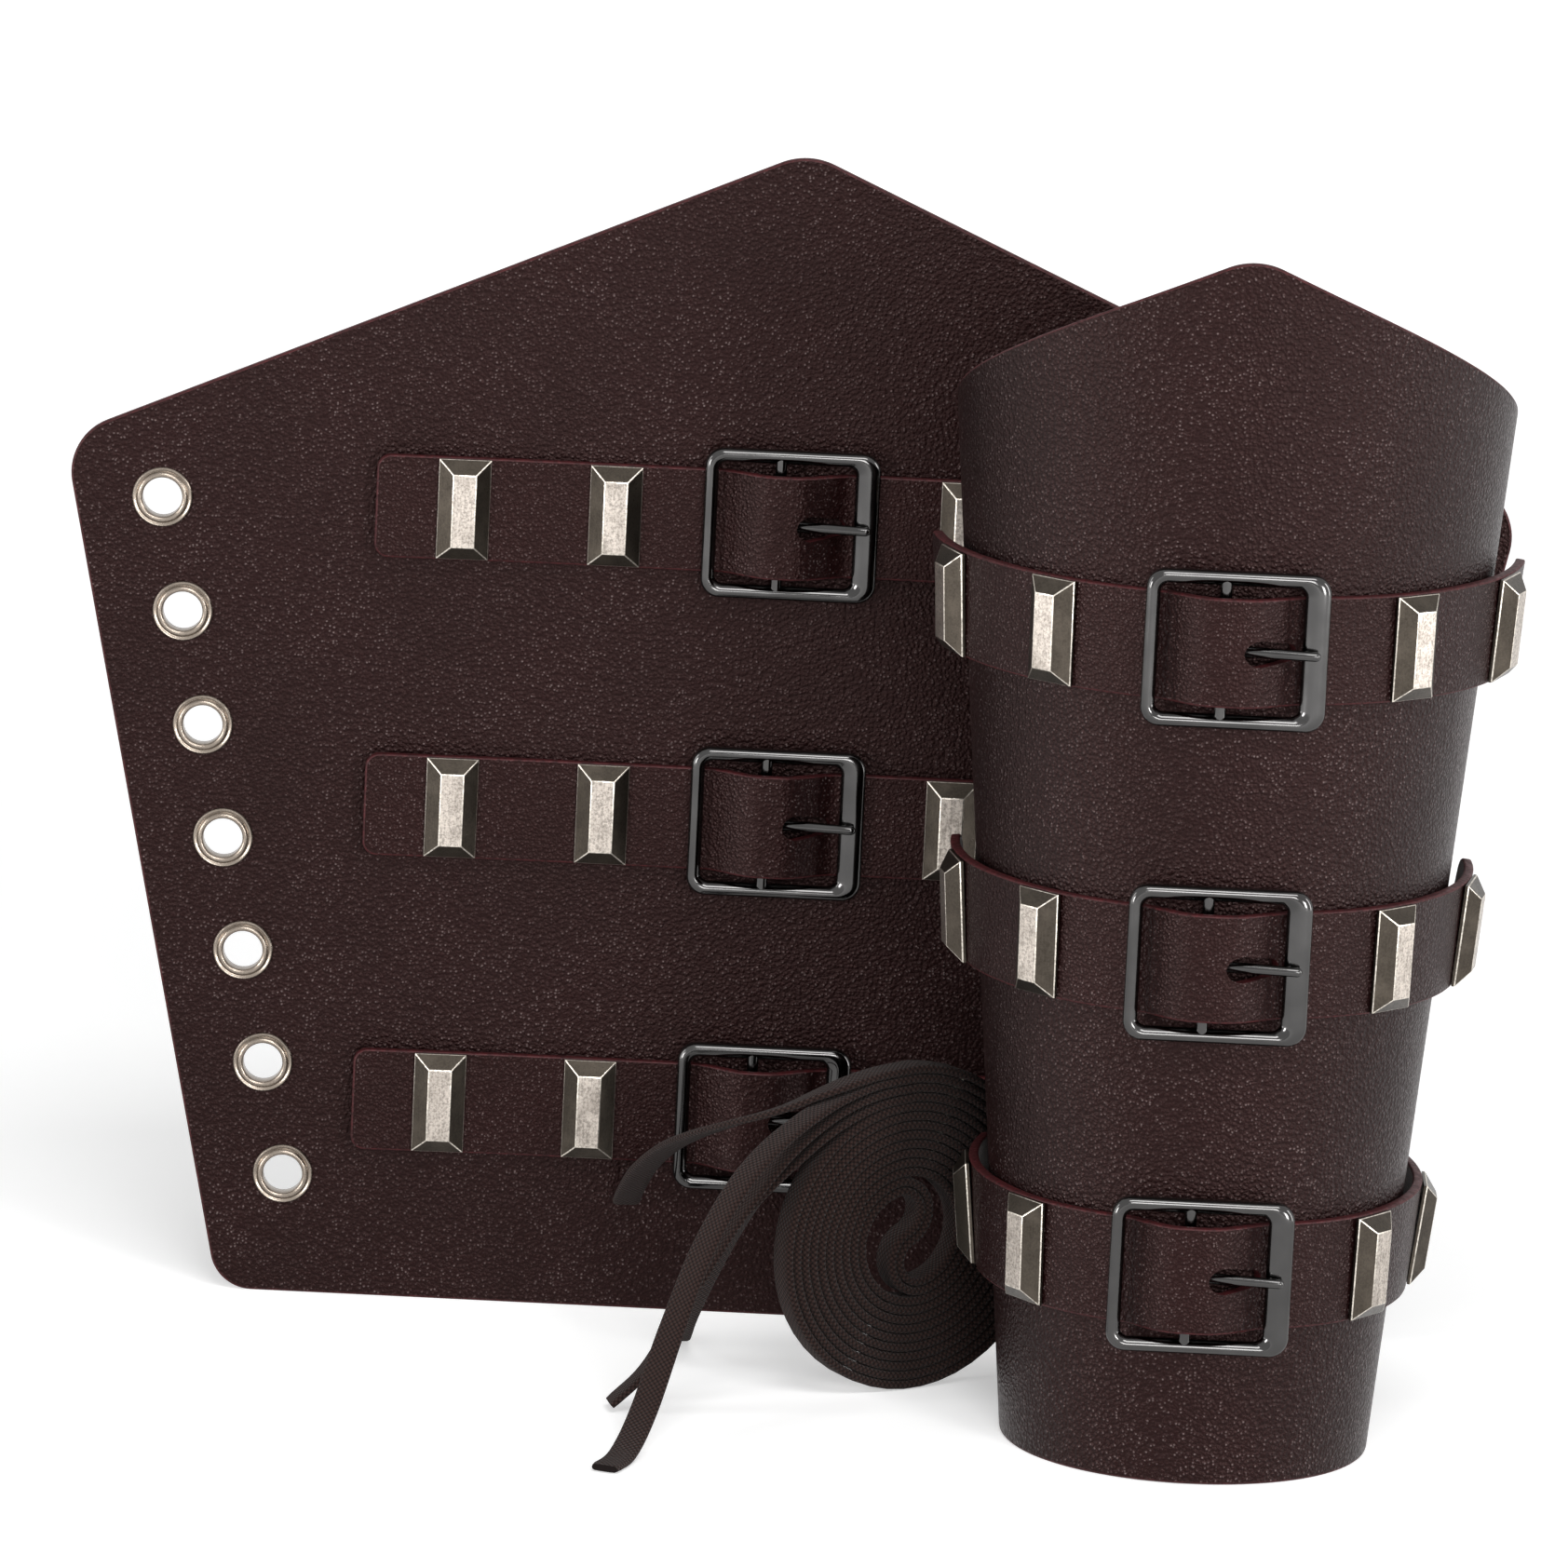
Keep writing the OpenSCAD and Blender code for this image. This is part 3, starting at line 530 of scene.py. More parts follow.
class Nodes:
    """A node tree, with a short name for each kind of node that is used often."""

    def __init__(self, tree):
        self.tree = tree
        tree.nodes.clear()

    def add(self, kind, inputs=None, **settings):
        node = self.tree.nodes.new(kind)
        for key, value in settings.items():
            setattr(node, key, value)
        for key, value in (inputs or {}).items():
            if isinstance(value, bpy.types.NodeSocket):
                self.tree.links.new(value, node.inputs[key])
            else:
                node.inputs[key].default_value = value
        return node

    def calc(self, operation, a, b=0.0, clamp=False):
        node = self.add("ShaderNodeMath", {0: a, 1: b}, operation=operation, use_clamp=clamp)
        return node.outputs[0]

    def plus(self, a, b):
        return self.calc("ADD", a, b)

    def times(self, a, b, clamp=False):
        return self.calc("MULTIPLY", a, b, clamp)

    def vector(self, operation, inputs):
        return self.add("ShaderNodeVectorMath", inputs, operation=operation).outputs

    def blend(self, factor, *colours):
        a, b = [c if isinstance(c, bpy.types.NodeSocket) else (*c, 1.0) for c in colours]
        return self.add("ShaderNodeMix", {0: factor, 6: a, 7: b}, data_type="RGBA").outputs[2]

    def spread(self, value, low, high, to_low=0.0, to_high=1.0):
        inputs = {"Value": value, "From Min": low, "From Max": high, "To Min": to_low,
                  "To Max": to_high}
        return self.add("ShaderNodeMapRange", inputs).outputs["Result"]

    def noise(self, at, scale, detail=2.0, roughness=0.5, result="Fac"):
        inputs = {"Vector": at, "Scale": scale, "Detail": detail, "Roughness": roughness}
        return self.add("ShaderNodeTexNoise", inputs).outputs[result]

    def stretched(self, at, share_of_z):
        inputs = {"Vector": at, "Scale": (1, 1, share_of_z)}
        return self.add("ShaderNodeMapping", inputs).outputs[0]

    def bump(self, height, strength, distance):
        inputs = {"Strength": strength, "Distance": distance, "Height": height}
        return self.add("ShaderNodeBump", inputs).outputs[0]

    def seen(self):
        """1 for what the camera, a mirror or glass shows, 0 for what lights the object."""
        path = self.add("ShaderNodeLightPath").outputs
        through = self.calc("MAXIMUM", path["Is Glossy Ray"], path["Is Transmission Ray"])
        return self.calc("MAXIMUM", path["Is Camera Ray"], through)

    def surface(self, **inputs):
        named = {key.replace("_", " "): value for key, value in inputs.items()}
        shader = self.add("ShaderNodeBsdfPrincipled", named)
        self.add("ShaderNodeOutputMaterial", {"Surface": shader.outputs[0]})


def pebbled(n, at, dark, light, painted_glint_colour, grain, depth):
    """Leather: small domed cells, finer wrinkles between them, and painted highlights: a light
    colour on some crowns stands in for glints of light.
    """
    warp = n.noise(at, grain * 0.5, 1.0, result="Color")
    bent = n.vector("ADD", {0: at, 1: n.vector("SCALE", {0: warp, "Scale": 0.35 / grain})[0]})[0]
    cells = n.add("ShaderNodeTexVoronoi", {"Vector": bent, "Scale": grain}, feature="F1").outputs
    dome = n.calc("SUBTRACT", 1.0, cells["Distance"], clamp=True)
    wrinkle = n.noise(at, grain * 2.2)
    height = n.plus(n.times(dome, 0.75), n.times(wrinkle, 0.4))
    chance = n.add("ShaderNodeSeparateColor", {"Color": cells["Color"]}).outputs[0]
    cloud = n.noise(at, 34.0, 3.0)
    # Painted highlight: a light colour on some crowns of the grain, in patches, stands in for
    # glints of light.
    painted_glint = n.times(n.spread(chance, 0.1, 0.9), n.spread(dome, 0.66, 0.88))
    painted_glint = n.times(painted_glint, n.spread(cloud, 0.3, 0.65, 0.25, 1.0))
    tone = n.plus(n.times(n.spread(height, 0.45, 0.95), 0.65),
                  n.times(n.spread(cloud, 0.3, 0.7), 0.35))
    n.surface(Base_Color=n.blend(n.times(painted_glint, 0.62), n.blend(tone, dark, light), painted_glint_colour),
              Roughness=n.spread(height, 0.45, 1.0, 0.42, 0.18), Specular_IOR_Level=0.22,
              Specular_Tint=(0.76, 0.48, 0.46, 1.0), Normal=n.bump(height, 0.6, depth))


def waxed(n, at, tint):
    """The stained cut edge: a waxed skin over fibres."""
    fibre = n.noise(at, 900.0, 3.0, 0.6)
    n.surface(Base_Color=n.blend(n.spread(fibre, 0.35, 0.7), [c * 0.35 for c in tint], tint),
              Roughness=n.spread(fibre, 0.3, 0.7, 0.62, 0.42), Specular_IOR_Level=0.2,
              Normal=n.bump(fibre, 0.5, 0.0002))


def napped(n, at, tint):
    """The flesh side of the leather."""
    nap = n.noise(at, 1500.0, 4.0, 0.7)
    tone = n.plus(n.times(nap, 0.6), n.times(n.noise(at, 55.0, 3.0), 0.4))
    n.surface(Base_Color=n.blend(n.spread(tone, 0.35, 0.65), [c * 0.5 for c in tint], tint),
              Roughness=0.92, Specular_IOR_Level=0.15, Sheen_Weight=0.2,
              Normal=n.bump(nap, 0.6, 0.0003))


def polished(n, at, tint):
    """Dark metal with faint smears and fine scratches."""
    smear = n.noise(at, 130.0, 3.0)
    scratch = n.noise(n.stretched(at, 0.06), 4200.0)
    n.surface(Base_Color=n.blend(n.spread(smear, 0.3, 0.7), [c * 0.8 for c in tint], tint),
              Metallic=1.0, Roughness=n.spread(smear, 0.3, 0.7, 0.07, 0.17),
              Normal=n.bump(scratch, 0.03, 0.00005))


def dulled(n, at, tint):
    """Warm dark nickel, dulled in its hollows."""
    speckle = n.noise(at, 1400.0, 3.0, 0.65)
    n.surface(Base_Color=n.blend(n.spread(speckle, 0.35, 0.65), [c * 0.75 for c in tint], tint),
              Metallic=1.0, Roughness=n.spread(speckle, 0.3, 0.7, 0.34, 0.2),
              Normal=n.bump(speckle, 0.1, 0.00008))


def antique(n, at, flat, patina, worn):
    """Pewter. The wear attribute marks each face: slope 0, flat 0.5, rubbed edge 1. The sloping
    sides are much darker than the flats, partly dark oxide and partly painted shade.
    """
    wear = n.add("ShaderNodeAttribute", attribute_name="wear").outputs["Fac"]
    pit = n.noise(at, 1900.0, 3.0, 0.7)
    brushed = n.noise(n.stretched(at, 0.12), 2600.0)
    mark = n.plus(n.times(pit, 0.72), n.times(brushed, 0.28))
    # Painted shade in part: the sloping sides take the much darker colour, the flats the light
    # pewter.
    base = n.blend(n.times(wear, 2.0, clamp=True), patina, flat)
    base = n.blend(n.spread(wear, 0.5, 1.0), base, worn)
    base = n.blend(n.times(n.spread(mark, 0.56, 0.40), 0.55), base, [c * 0.45 for c in patina])
    haze = n.times(n.spread(n.noise(at, 210.0, 3.0), 0.45, 0.7), 0.35)
    n.surface(Base_Color=n.blend(haze, base, [c * 1.9 for c in patina]), Metallic=1.0,
              Roughness=n.spread(mark, 0.35, 0.65, 0.42, 0.27),
              Normal=n.bump(mark, 0.28, 0.00008))


def braided(n, at, dark, light):
    """A flat tubular braid: two families of yarns that cross, in the lace's own coordinates."""
    weave = n.add("ShaderNodeUVMap", uv_map="weave").outputs[0]
    along, across = n.add("ShaderNodeSeparateXYZ", {0: weave}).outputs[:2]
    waves = []
    for way in (math.pi, -math.pi):
        phase = n.plus(n.times(along, math.pi), n.times(across, way))
        waves.append(n.calc("ABSOLUTE", n.calc("SINE", phase)))
    yarn, cross = n.calc("MAXIMUM", *waves), n.times(*waves)
    fuzz = n.noise(at, 2600.0, 3.0, 0.7)
    height = n.plus(n.times(cross, 0.6), n.plus(n.times(yarn, 0.2), n.times(fuzz, 0.3)))
    n.surface(Base_Color=n.blend(n.spread(height, 0.25, 0.9), dark, light), Roughness=0.9,
              Specular_IOR_Level=0.1, Sheen_Weight=0.06, Sheen_Roughness=0.5,
              Normal=n.bump(height, 0.9, 0.0004))


def glowing_floor(n, at):
    """A pale floor that fades to white away from the object."""
    glow = n.times(n.seen(), n.spread(n.vector("LENGTH", {0: at})["Value"], 0.3, 1.8, 0.42, 0.9))
    n.surface(Base_Color=(0.8, 0.8, 0.8, 1), Roughness=1.0, Specular_IOR_Level=0.0,
              Emission_Color=(1, 1, 1, 1), Emission_Strength=glow)


# What makes each finish, and the colours and numbers that it takes.
FINISHES = {
    # The crown colour of the two grains is a painted highlight.
    "guard_grain": (pebbled, ("guard_dark", "guard_light", "crown"), 1250.0, 0.0005),
    "strap_grain": (pebbled, ("strap_dark", "strap_light", "crown"), 1450.0, 0.0004),
    "stained_edge": (waxed, ("edge",)),
    "flesh_side": (napped, ("back",)),
    "polished_gunmetal": (polished, ("gunmetal",)),
    "dark_nickel": (dulled, ("nickel",)),
    "antique_pewter": (antique, ("pewter", "patina", "worn")),
    "braided_lace": (braided, ("lace_dark", "lace_light")),
    "white_floor": (glowing_floor, ()),
}


def finish(name):
    """The named finish, made on its first use."""
    if name in bpy.data.materials:
        return bpy.data.materials[name]
    maker, colours, *numbers = FINISHES[name]
    chosen = bpy.context.scene.arm_guards.colours
    material = bpy.data.materials.new(name)
    material.use_nodes = True
    nodes = Nodes(material.node_tree)
    at = nodes.add("ShaderNodeTexCoord").outputs["Object"]
    maker(nodes, at, *[getattr(chosen, colour) for colour in colours], *numbers)
    return material


# What repeats.

def repeat_tree():
    """Geometry Nodes that put a part, or the other part, on each point, turned as it says."""
    name = "part_on_points"
    if name in bpy.data.node_groups:
        return bpy.data.node_groups[name]
    tree = bpy.data.node_groups.new(name, "GeometryNodeTree")
    for label, way, kind in (("Points", "INPUT", "Geometry"), ("Part", "INPUT", "Object"),
                             ("Marked part", "INPUT", "Object"), ("Finish", "INPUT", "Material"),
                             ("Parts", "OUTPUT", "Geometry")):
        tree.interface.new_socket(label, in_out=way, socket_type="NodeSocket" + kind)
    n = Nodes(tree)
    given = n.add("NodeGroupInput").outputs
    marked, euler = [n.add("GeometryNodeInputNamedAttribute", {"Name": label},
                           data_type=kind).outputs[0]
                     for label, kind in (("marked", "BOOLEAN"), ("turn", "FLOAT_VECTOR"))]
    plain = n.add("FunctionNodeBooleanMath", {0: marked}, operation="NOT").outputs[0]
    turn = n.add("FunctionNodeEulerToRotation", {0: euler}).outputs[0]
    joined = n.add("GeometryNodeJoinGeometry")
    for part, chosen in (("Marked part", marked), ("Part", plain)):
        shape = n.add("GeometryNodeObjectInfo", {"Object": given[part]}).outputs["Geometry"]
        copies = n.add("GeometryNodeInstanceOnPoints",
                       {"Points": given["Points"], "Selection": chosen, "Instance": shape,
                        "Rotation": turn})
        tree.links.new(copies.outputs[0], joined.inputs[0])
    real = n.add("GeometryNodeRealizeInstances", {"Geometry": joined.outputs[0]})
    finished = n.add("GeometryNodeSetMaterial", {"Geometry": real.outputs[0],
                                                 "Material": given["Finish"]})
    n.add("NodeGroupOutput", {0: finished.outputs[0]})
    return tree


def repeated(name, matrices, part, material, marked_part=None, marked=()):
    """One plain mesh with a copy of the part, or of the marked part, at every matrix."""
    points = bpy.data.meshes.new(name + "_points")
    points.from_pydata([m.translation for m in matrices], [], [])
    turn = points.attributes.new("turn", "FLOAT_VECTOR", "POINT")
    mark = points.attributes.new("marked", "BOOLEAN", "POINT")
    for i, matrix in enumerate(matrices):
        turn.data[i].vector = matrix.to_euler()
        mark.data[i].value = i in marked
    holder = link(name + "_holder", points)
    modifier = holder.modifiers.new("repeat", "NODES")
    modifier.node_group = repeat_tree()
    given = {"Part": part, "Marked part": marked_part, "Finish": material}
    for item in modifier.node_group.interface.items_tree:
        if item.item_type == "SOCKET" and item.in_out == "INPUT" and given.get(item.name):
            modifier[item.identifier] = given[item.name]
    mesh = evaluated(holder)
    mesh.name = name
    for spent in filter(None, (holder, part, marked_part)):
        bpy.data.objects.remove(spent)
    return link(name, mesh)


# Operators, one for each piece or group of like pieces.

class ARMGUARD_OT_studio(bpy.types.Operator):
    """Set up the camera, the floor and the light"""
    bl_idname = "armguard.studio"
    bl_label = "Studio"
    # Where each lamp is, its width and height in metres, and its watts.
    lamps = {
        "left_front": ((-1.55, -1.4, 0.36), 0.4, 0.6, 18.0),
        "front": ((0.35, -2.2, 0.75), 0.7, 0.6, 16.0),
        "right_front": ((1.35, -1.85, 0.36), 0.4, 0.6, 18.0),
        "above": ((0.3, -1.3, 1.8), 1.2, 0.6, 22.0),
        "left_strip": ((-1.7, -0.42, 0.6), 0.5, 1.2, 10.0),
        "right_strip": ((1.7, -0.3, 0.6), 0.5, 1.2, 16.0),
    }
    floor_half = 8              # metres

    def execute(self, context):
        scene, studio, plan = context.scene, context.scene.arm_guards.studio, layout()
        scene.view_settings.view_transform = "Standard"
        target = Vector((studio.look_right, plan.roll_at.y, studio.look_up))
        ahead = Vector((0, math.cos(studio.pitch), -math.sin(studio.pitch)))
        level, up = Vector((1, 0, 0)), Vector((0, math.sin(studio.pitch), math.cos(studio.pitch)))
        right = level * math.cos(studio.roll) + up * math.sin(studio.roll)
        top = up * math.cos(studio.roll) - level * math.sin(studio.roll)
        data = bpy.data.cameras.new("camera")
        data.lens, data.sensor_width = studio.focal_length, 36.0
        data.clip_start, data.clip_end = 0.05, 50.0
        scene.camera = link("camera", data)
        turn = Matrix((right, top, -ahead)).transposed().to_4x4()
        scene.camera.matrix_world = Matrix.Translation(target - ahead * studio.distance) @ turn
        for name, (place, width, height, watts) in self.lamps.items():
            light = bpy.data.lights.new(name, "AREA")
            light.shape, light.size, light.size_y, light.energy = "RECTANGLE", width, height, watts
            lamp = link(name, light)
            lamp.location = place
            lamp.rotation_euler = (target - Vector(place)).to_track_quat("-Z", "Y").to_euler()
        scene.world = bpy.data.worlds.new("white_room")
        scene.world.use_nodes = True
        n = Nodes(scene.world.node_tree)
        strength = n.spread(n.seen(), 0.0, 1.0, studio.world, 1.0)
        shader = n.add("ShaderNodeBackground", {"Color": (1, 1, 1, 1), "Strength": strength})
        n.add("ShaderNodeOutputWorld", {"Surface": shader.outputs[0]})
        mesh = bpy.data.meshes.new("floor")
        size = self.floor_half
        corners = [(x, y, 0) for x, y in box_corners(-size, size, -size, size)]
        mesh.from_pydata(corners, [], [(0, 1, 2, 3)])
        mesh.materials.append(finish("white_floor"))
        link("floor", mesh)
        return {"FINISHED"}


class ARMGUARD_OT_laces(bpy.types.Operator):
    """Wind the two flat laces into their coil, with their four free ends"""
    bl_idname = "armguard.laces"
    bl_label = "Laces"
    # The free ends, on from the top of the coil, in metres: along the coil's face, towards the
    # viewer, and height.
    tails = {
        "b_long": ((-.010, 0, .068), (-.020, -.001, .0654), (-.028, -.007, .0605),
                   (-.033, -.018, .0555), (-.034, -.031, .050), (-.032, -.044, .044),
                   (-.029, -.057, .0365), (-.025, -.068, .029), (-.0215, -.0755, .024)),
        "a_long": ((-.010, 0, .066), (-.020, .0005, .0632), (-.030, .002, .059),
                   (-.0395, .0045, .054), (-.048, .007, .047), (-.0565, .0095, .036),
                   (-.065, .013, .0215), (-.075, .020, .008), (-.084, .027, .0016),
                   (-.092, .033, .001)),
        "a_short": ((-.010, 0, .0638), (-.020, 0, .0602), (-.030, 0, .0535),
                    (-.0395, -.0005, .043), (-.0475, -.0015, .031), (-.054, -.003, .019),
                    (-.0595, -.005, .0085), (-.066, -.0075, .0015)),
        "b_short": ((-.010, 0, .0616), (-.020, 0, .0572), (-.029, -.003, .048),
                    (-.0355, -.009, .036), (-.0375, -.018, .023), (-.035, -.029, .0115),
                    (-.029, -.041, .0035), (-.022, -.053, .001)),
    }
    loop_steps, bend_steps, tail_steps = 48, 16, 6
    easing = 12                 # steps over which the wound lace narrows to its free end
    end_size = 0.93             # of a cut end, against the lace
    yarn = 0.00115              # width of a yarn
    half_section = ((-1, 0), (-0.95, 0.62), (-0.8, 0.93), (-0.4, 1), (0, 1), (0.4, 1),
                    (0.8, 0.93), (0.95, 0.62))

    def execute(self, context):
        plan = layout()
        self.lace = lace = plan.sizes.lace
        self.start = math.degrees(lace.start)
        self.arm_turns = (lace.turns - self.start / 360, lace.turns - 0.5 - self.start / 360)
        self.at = Vector((lace.right, plan.back_y + lace.before - plan.roll_y,
                          self.arm_radius(self.arm_turns[1], 1) + lace.pitch / 2))
        self.along = Vector((math.cos(lace.turn), math.sin(lace.turn), 0))
        self.facing = Vector((math.sin(lace.turn), -math.cos(lace.turn), 0))
        for name, side in (("a", -1), ("b", 1)):
            self.make_lace(name, side)
        return {"FINISHED"}

    def arm_radius(self, turns, side):
        return 2 * self.lace.bend + 4 * self.lace.pitch * turns + side * self.lace.pitch / 2

    def arm(self, arm, side):
        """An arm of the double spiral, from the middle out. side is 1 for its outer strand."""
        steps = round(self.arm_turns[arm] * self.loop_steps)
        points = []
        for i in range(steps + 1):
            turns = self.arm_turns[arm] * i / steps
            a = math.radians(90 + self.start + 180 * arm + 360 * turns)
            points.append(self.arm_radius(turns, side) * Vector((math.cos(a), math.sin(a))))
        return points

    def bends(self, side):
        """The two bends in the middle, from the start of arm 0 to the start of arm 1."""
        bend, steps, half = self.lace.bend, self.bend_steps, side * self.lace.pitch / 2
        points = []
        for centre, radius, way, first in ((bend, bend + half, -1, 1), (-bend, bend - half, 1, 0)):
            for i in range(first, steps):
                a = math.radians(90 + way * 180 * i / steps)
                points.append(Vector((0, centre)) + radius * Vector((math.cos(a), math.sin(a))))
        return [Matrix.Rotation(self.lace.start, 2) @ p for p in points]

    def tail(self, name, arm, side):
        """Centres and broad directions of a free end, on a smooth curve from the coil out."""
        top = self.at.z + self.arm_radius(self.arm_turns[arm], side)
        points = [Vector(p) for p in ((0, 0, top), *self.tails[name])]
        line = [self.at + self.along * p.x + self.facing * p.y + Vector((0, 0, p.z - self.at.z))
                for p in points]
        line = [2 * line[0] - line[1], *line, 2 * line[-1] - line[-2]]
        centres = []
        for a, b, c, d in zip(line, line[1:], line[2:], line[3:]):
            for k in range(self.tail_steps):
                u = k / self.tail_steps
                centres.append(0.5 * (2 * b + (c - a) * u + (2 * a - 5 * b + 4 * c - d) * u ** 2
                                      + (3 * b - a - 3 * c + d) * u ** 3))
        centres.append(line[-2])
        row = [(centres[0], self.facing)]
        for before, centre, after in zip(centres, centres[1:], [*centres[2:], centres[-1]]):
            row.append((centre, Vector((0, 0, 1)).cross(after - before).normalized()))
        return row

    def make_lace(self, name, side):
        lace = self.lace
        coil = self.arm(0, side)[::-1] + self.bends(side) + self.arm(1, -side)
        coil = [(self.at + self.along * p.x + Vector((0, 0, p.y)), self.facing) for p in coil]
        long_tail = self.tail(name + "_long", 0, side)
        short_tail = self.tail(name + "_short", 1, -side)
        row = long_tail[:0:-1] + coil + short_tail[1:]
        centres, last = [p for p, _ in row], len(row) - 1
        section = (*self.half_section, *((-x, -y) for x, y in self.half_section))
        half_w, wound = lace.width / 2, lace.pitch - HAIR
        rings, run = [], [0.0]
        for i, (centre, broad) in enumerate(row):
            ahead = (centres[min(i + 1, last)] - centres[max(i - 1, 0)]).normalized()
            thick = ahead.cross(broad).normalized()
            # The wound turns press on each other, so there the lace fills its pitch.
            out = max(len(long_tail) - 1 - i, i - (last - len(short_tail) + 1), 0) / self.easing
            half_t = (wound - (wound - lace.thickness) * smooth_step(out)) / 2
            size = self.end_size if i in (0, last) else 1.0
            rings.append([centre + broad * x * half_w * size + thick * y * half_t * size
                          for x, y in section])
            if i:
                run.append(run[-1] + (centre - centres[i - 1]).length)
        around = [0.0]
        for a, b in zip(section, (*section[1:], section[0])):
            around.append(around[-1] + math.hypot((a[0] - b[0]) * half_w,
                                                  (a[1] - b[1]) * lace.thickness / 2))
        yarns = round(around[-1] / self.yarn)
        bm = bmesh.new()
        weave = bm.loops.layers.uv.new("weave")
        for index, face in enumerate(add_rings(bm, rings)[:-2]):
            i, j = divmod(index, len(section))
            for loop, (r, c) in zip(face.loops, ((i, j), (i, j + 1), (i + 1, j + 1), (i + 1, j))):
                loop[weave].uv = (run[r] / self.yarn, around[c] / around[-1] * yarns)
        mesh = as_mesh("lace_" + name, bm, [finish("braided_lace")], sharp_degrees=60)
        piece = link("lace_" + name, mesh)
        dressed(piece, "lace_cord", f"lace_{name}_coil", f"lace_{name}_tails")


class ARMGUARD_OT_leather(bpy.types.Operator):
    """Cut the two guards and lay one flat and the other round the arm"""
    bl_idname = "armguard.leather"
    bl_label = "Guards"
    cuts = 84                   # to each side, so that the leather can be rolled
    corner_steps, hole_steps = 14, 32

    def execute(self, context):
        plan = layout()
        leather, eyelet = plan.sizes.leather, plan.sizes.eyelet
        outline = plan.outline(self.corner_steps)
        reach = max(math.atan2(p.x, p.y + plan.tip) for p in outline)
        rays = [reach * i / self.cuts for i in range(-self.cuts + 1, self.cuts)]
        planes = [((0, -plan.tip, 0), (math.cos(a), -math.sin(a), 0)) for a in rays]
        sheet = cut_sheet(outline, leather.thickness, leather.edge_round, planes)
        holes = bmesh.new()
        for x, z in plan.eyelet_places():
            hole = circle(eyelet.bore_radius + eyelet.wall + HAIR, self.hole_steps, x, z)
            add_prism(holes, hole, -THROUGH, THROUGH)
        flat = without(sheet, holes)
        for name, rolled in GUARDS:
            piece = laid_sheet(name + "_leather", flat,
                               lambda x, z, h: plan.point(rolled, x, z, h), "guard_grain")
            dressed(piece, "guard_leather", name + "_body")
        flat.free()
        return {"FINISHED"}


class ARMGUARD_OT_straps(bpy.types.Operator):
    """Cut the six straps, slot them and thread them through their buckles"""
    bl_idname = "armguard.straps"
    bl_label = "Straps"
    step = 0.001                # between the cuts that let a strap bend
    slot_start, slot_end = 0.0037, 0.0136    # from the bar
    side_room = 0.0007          # to each side of the prong, at the slot's narrow end
    corner_steps, arc_steps = 8, 12

    def execute(self, context):
        plan = layout()
        strap = plan.sizes.strap
        x, z, count = plan.strap_half, strap.width / 2, round(plan.strap_half / self.step)
        outline = rounded_outline(box_corners(-x, x, -z, z), [strap.corner] * 4, self.corner_steps)
        planes = [((i * self.step, 0, 0), (1, 0, 0)) for i in range(-count + 1, count)]
        sheet = cut_sheet(outline, strap.thickness, strap.edge_round, planes)
        mouth, throat = strap.slot_mouth / 2, plan.sizes.buckle.shank_radius + self.side_room
        start, end = plan.bar_x + self.slot_start, plan.bar_x + self.slot_end - throat
        turns = [math.pi * i / self.arc_steps for i in range(self.arc_steps + 1)]
        arc = [(math.sin(a), math.cos(a)) for a in turns]
        slot = bmesh.new()
        add_prism(slot, [(start + mouth * (1 - s), mouth * c) for s, c in arc]
                  + [(end + throat * s, -throat * c) for s, c in arc], -THROUGH, THROUGH)
        flat = without(sheet, slot)
        for name, rolled in GUARDS:
            for level, at in zip(LEVELS, plan.strap_zs):
                piece = laid_sheet(
                    f"{name}_strap_{level}_leather", flat,
                    lambda s, z, h: plan.strap_point(rolled, s, z + at, h), "strap_grain")
                dressed(piece, "strap_leather", f"{name}_strap_{level}")
        flat.free()
        return {"FINISHED"}


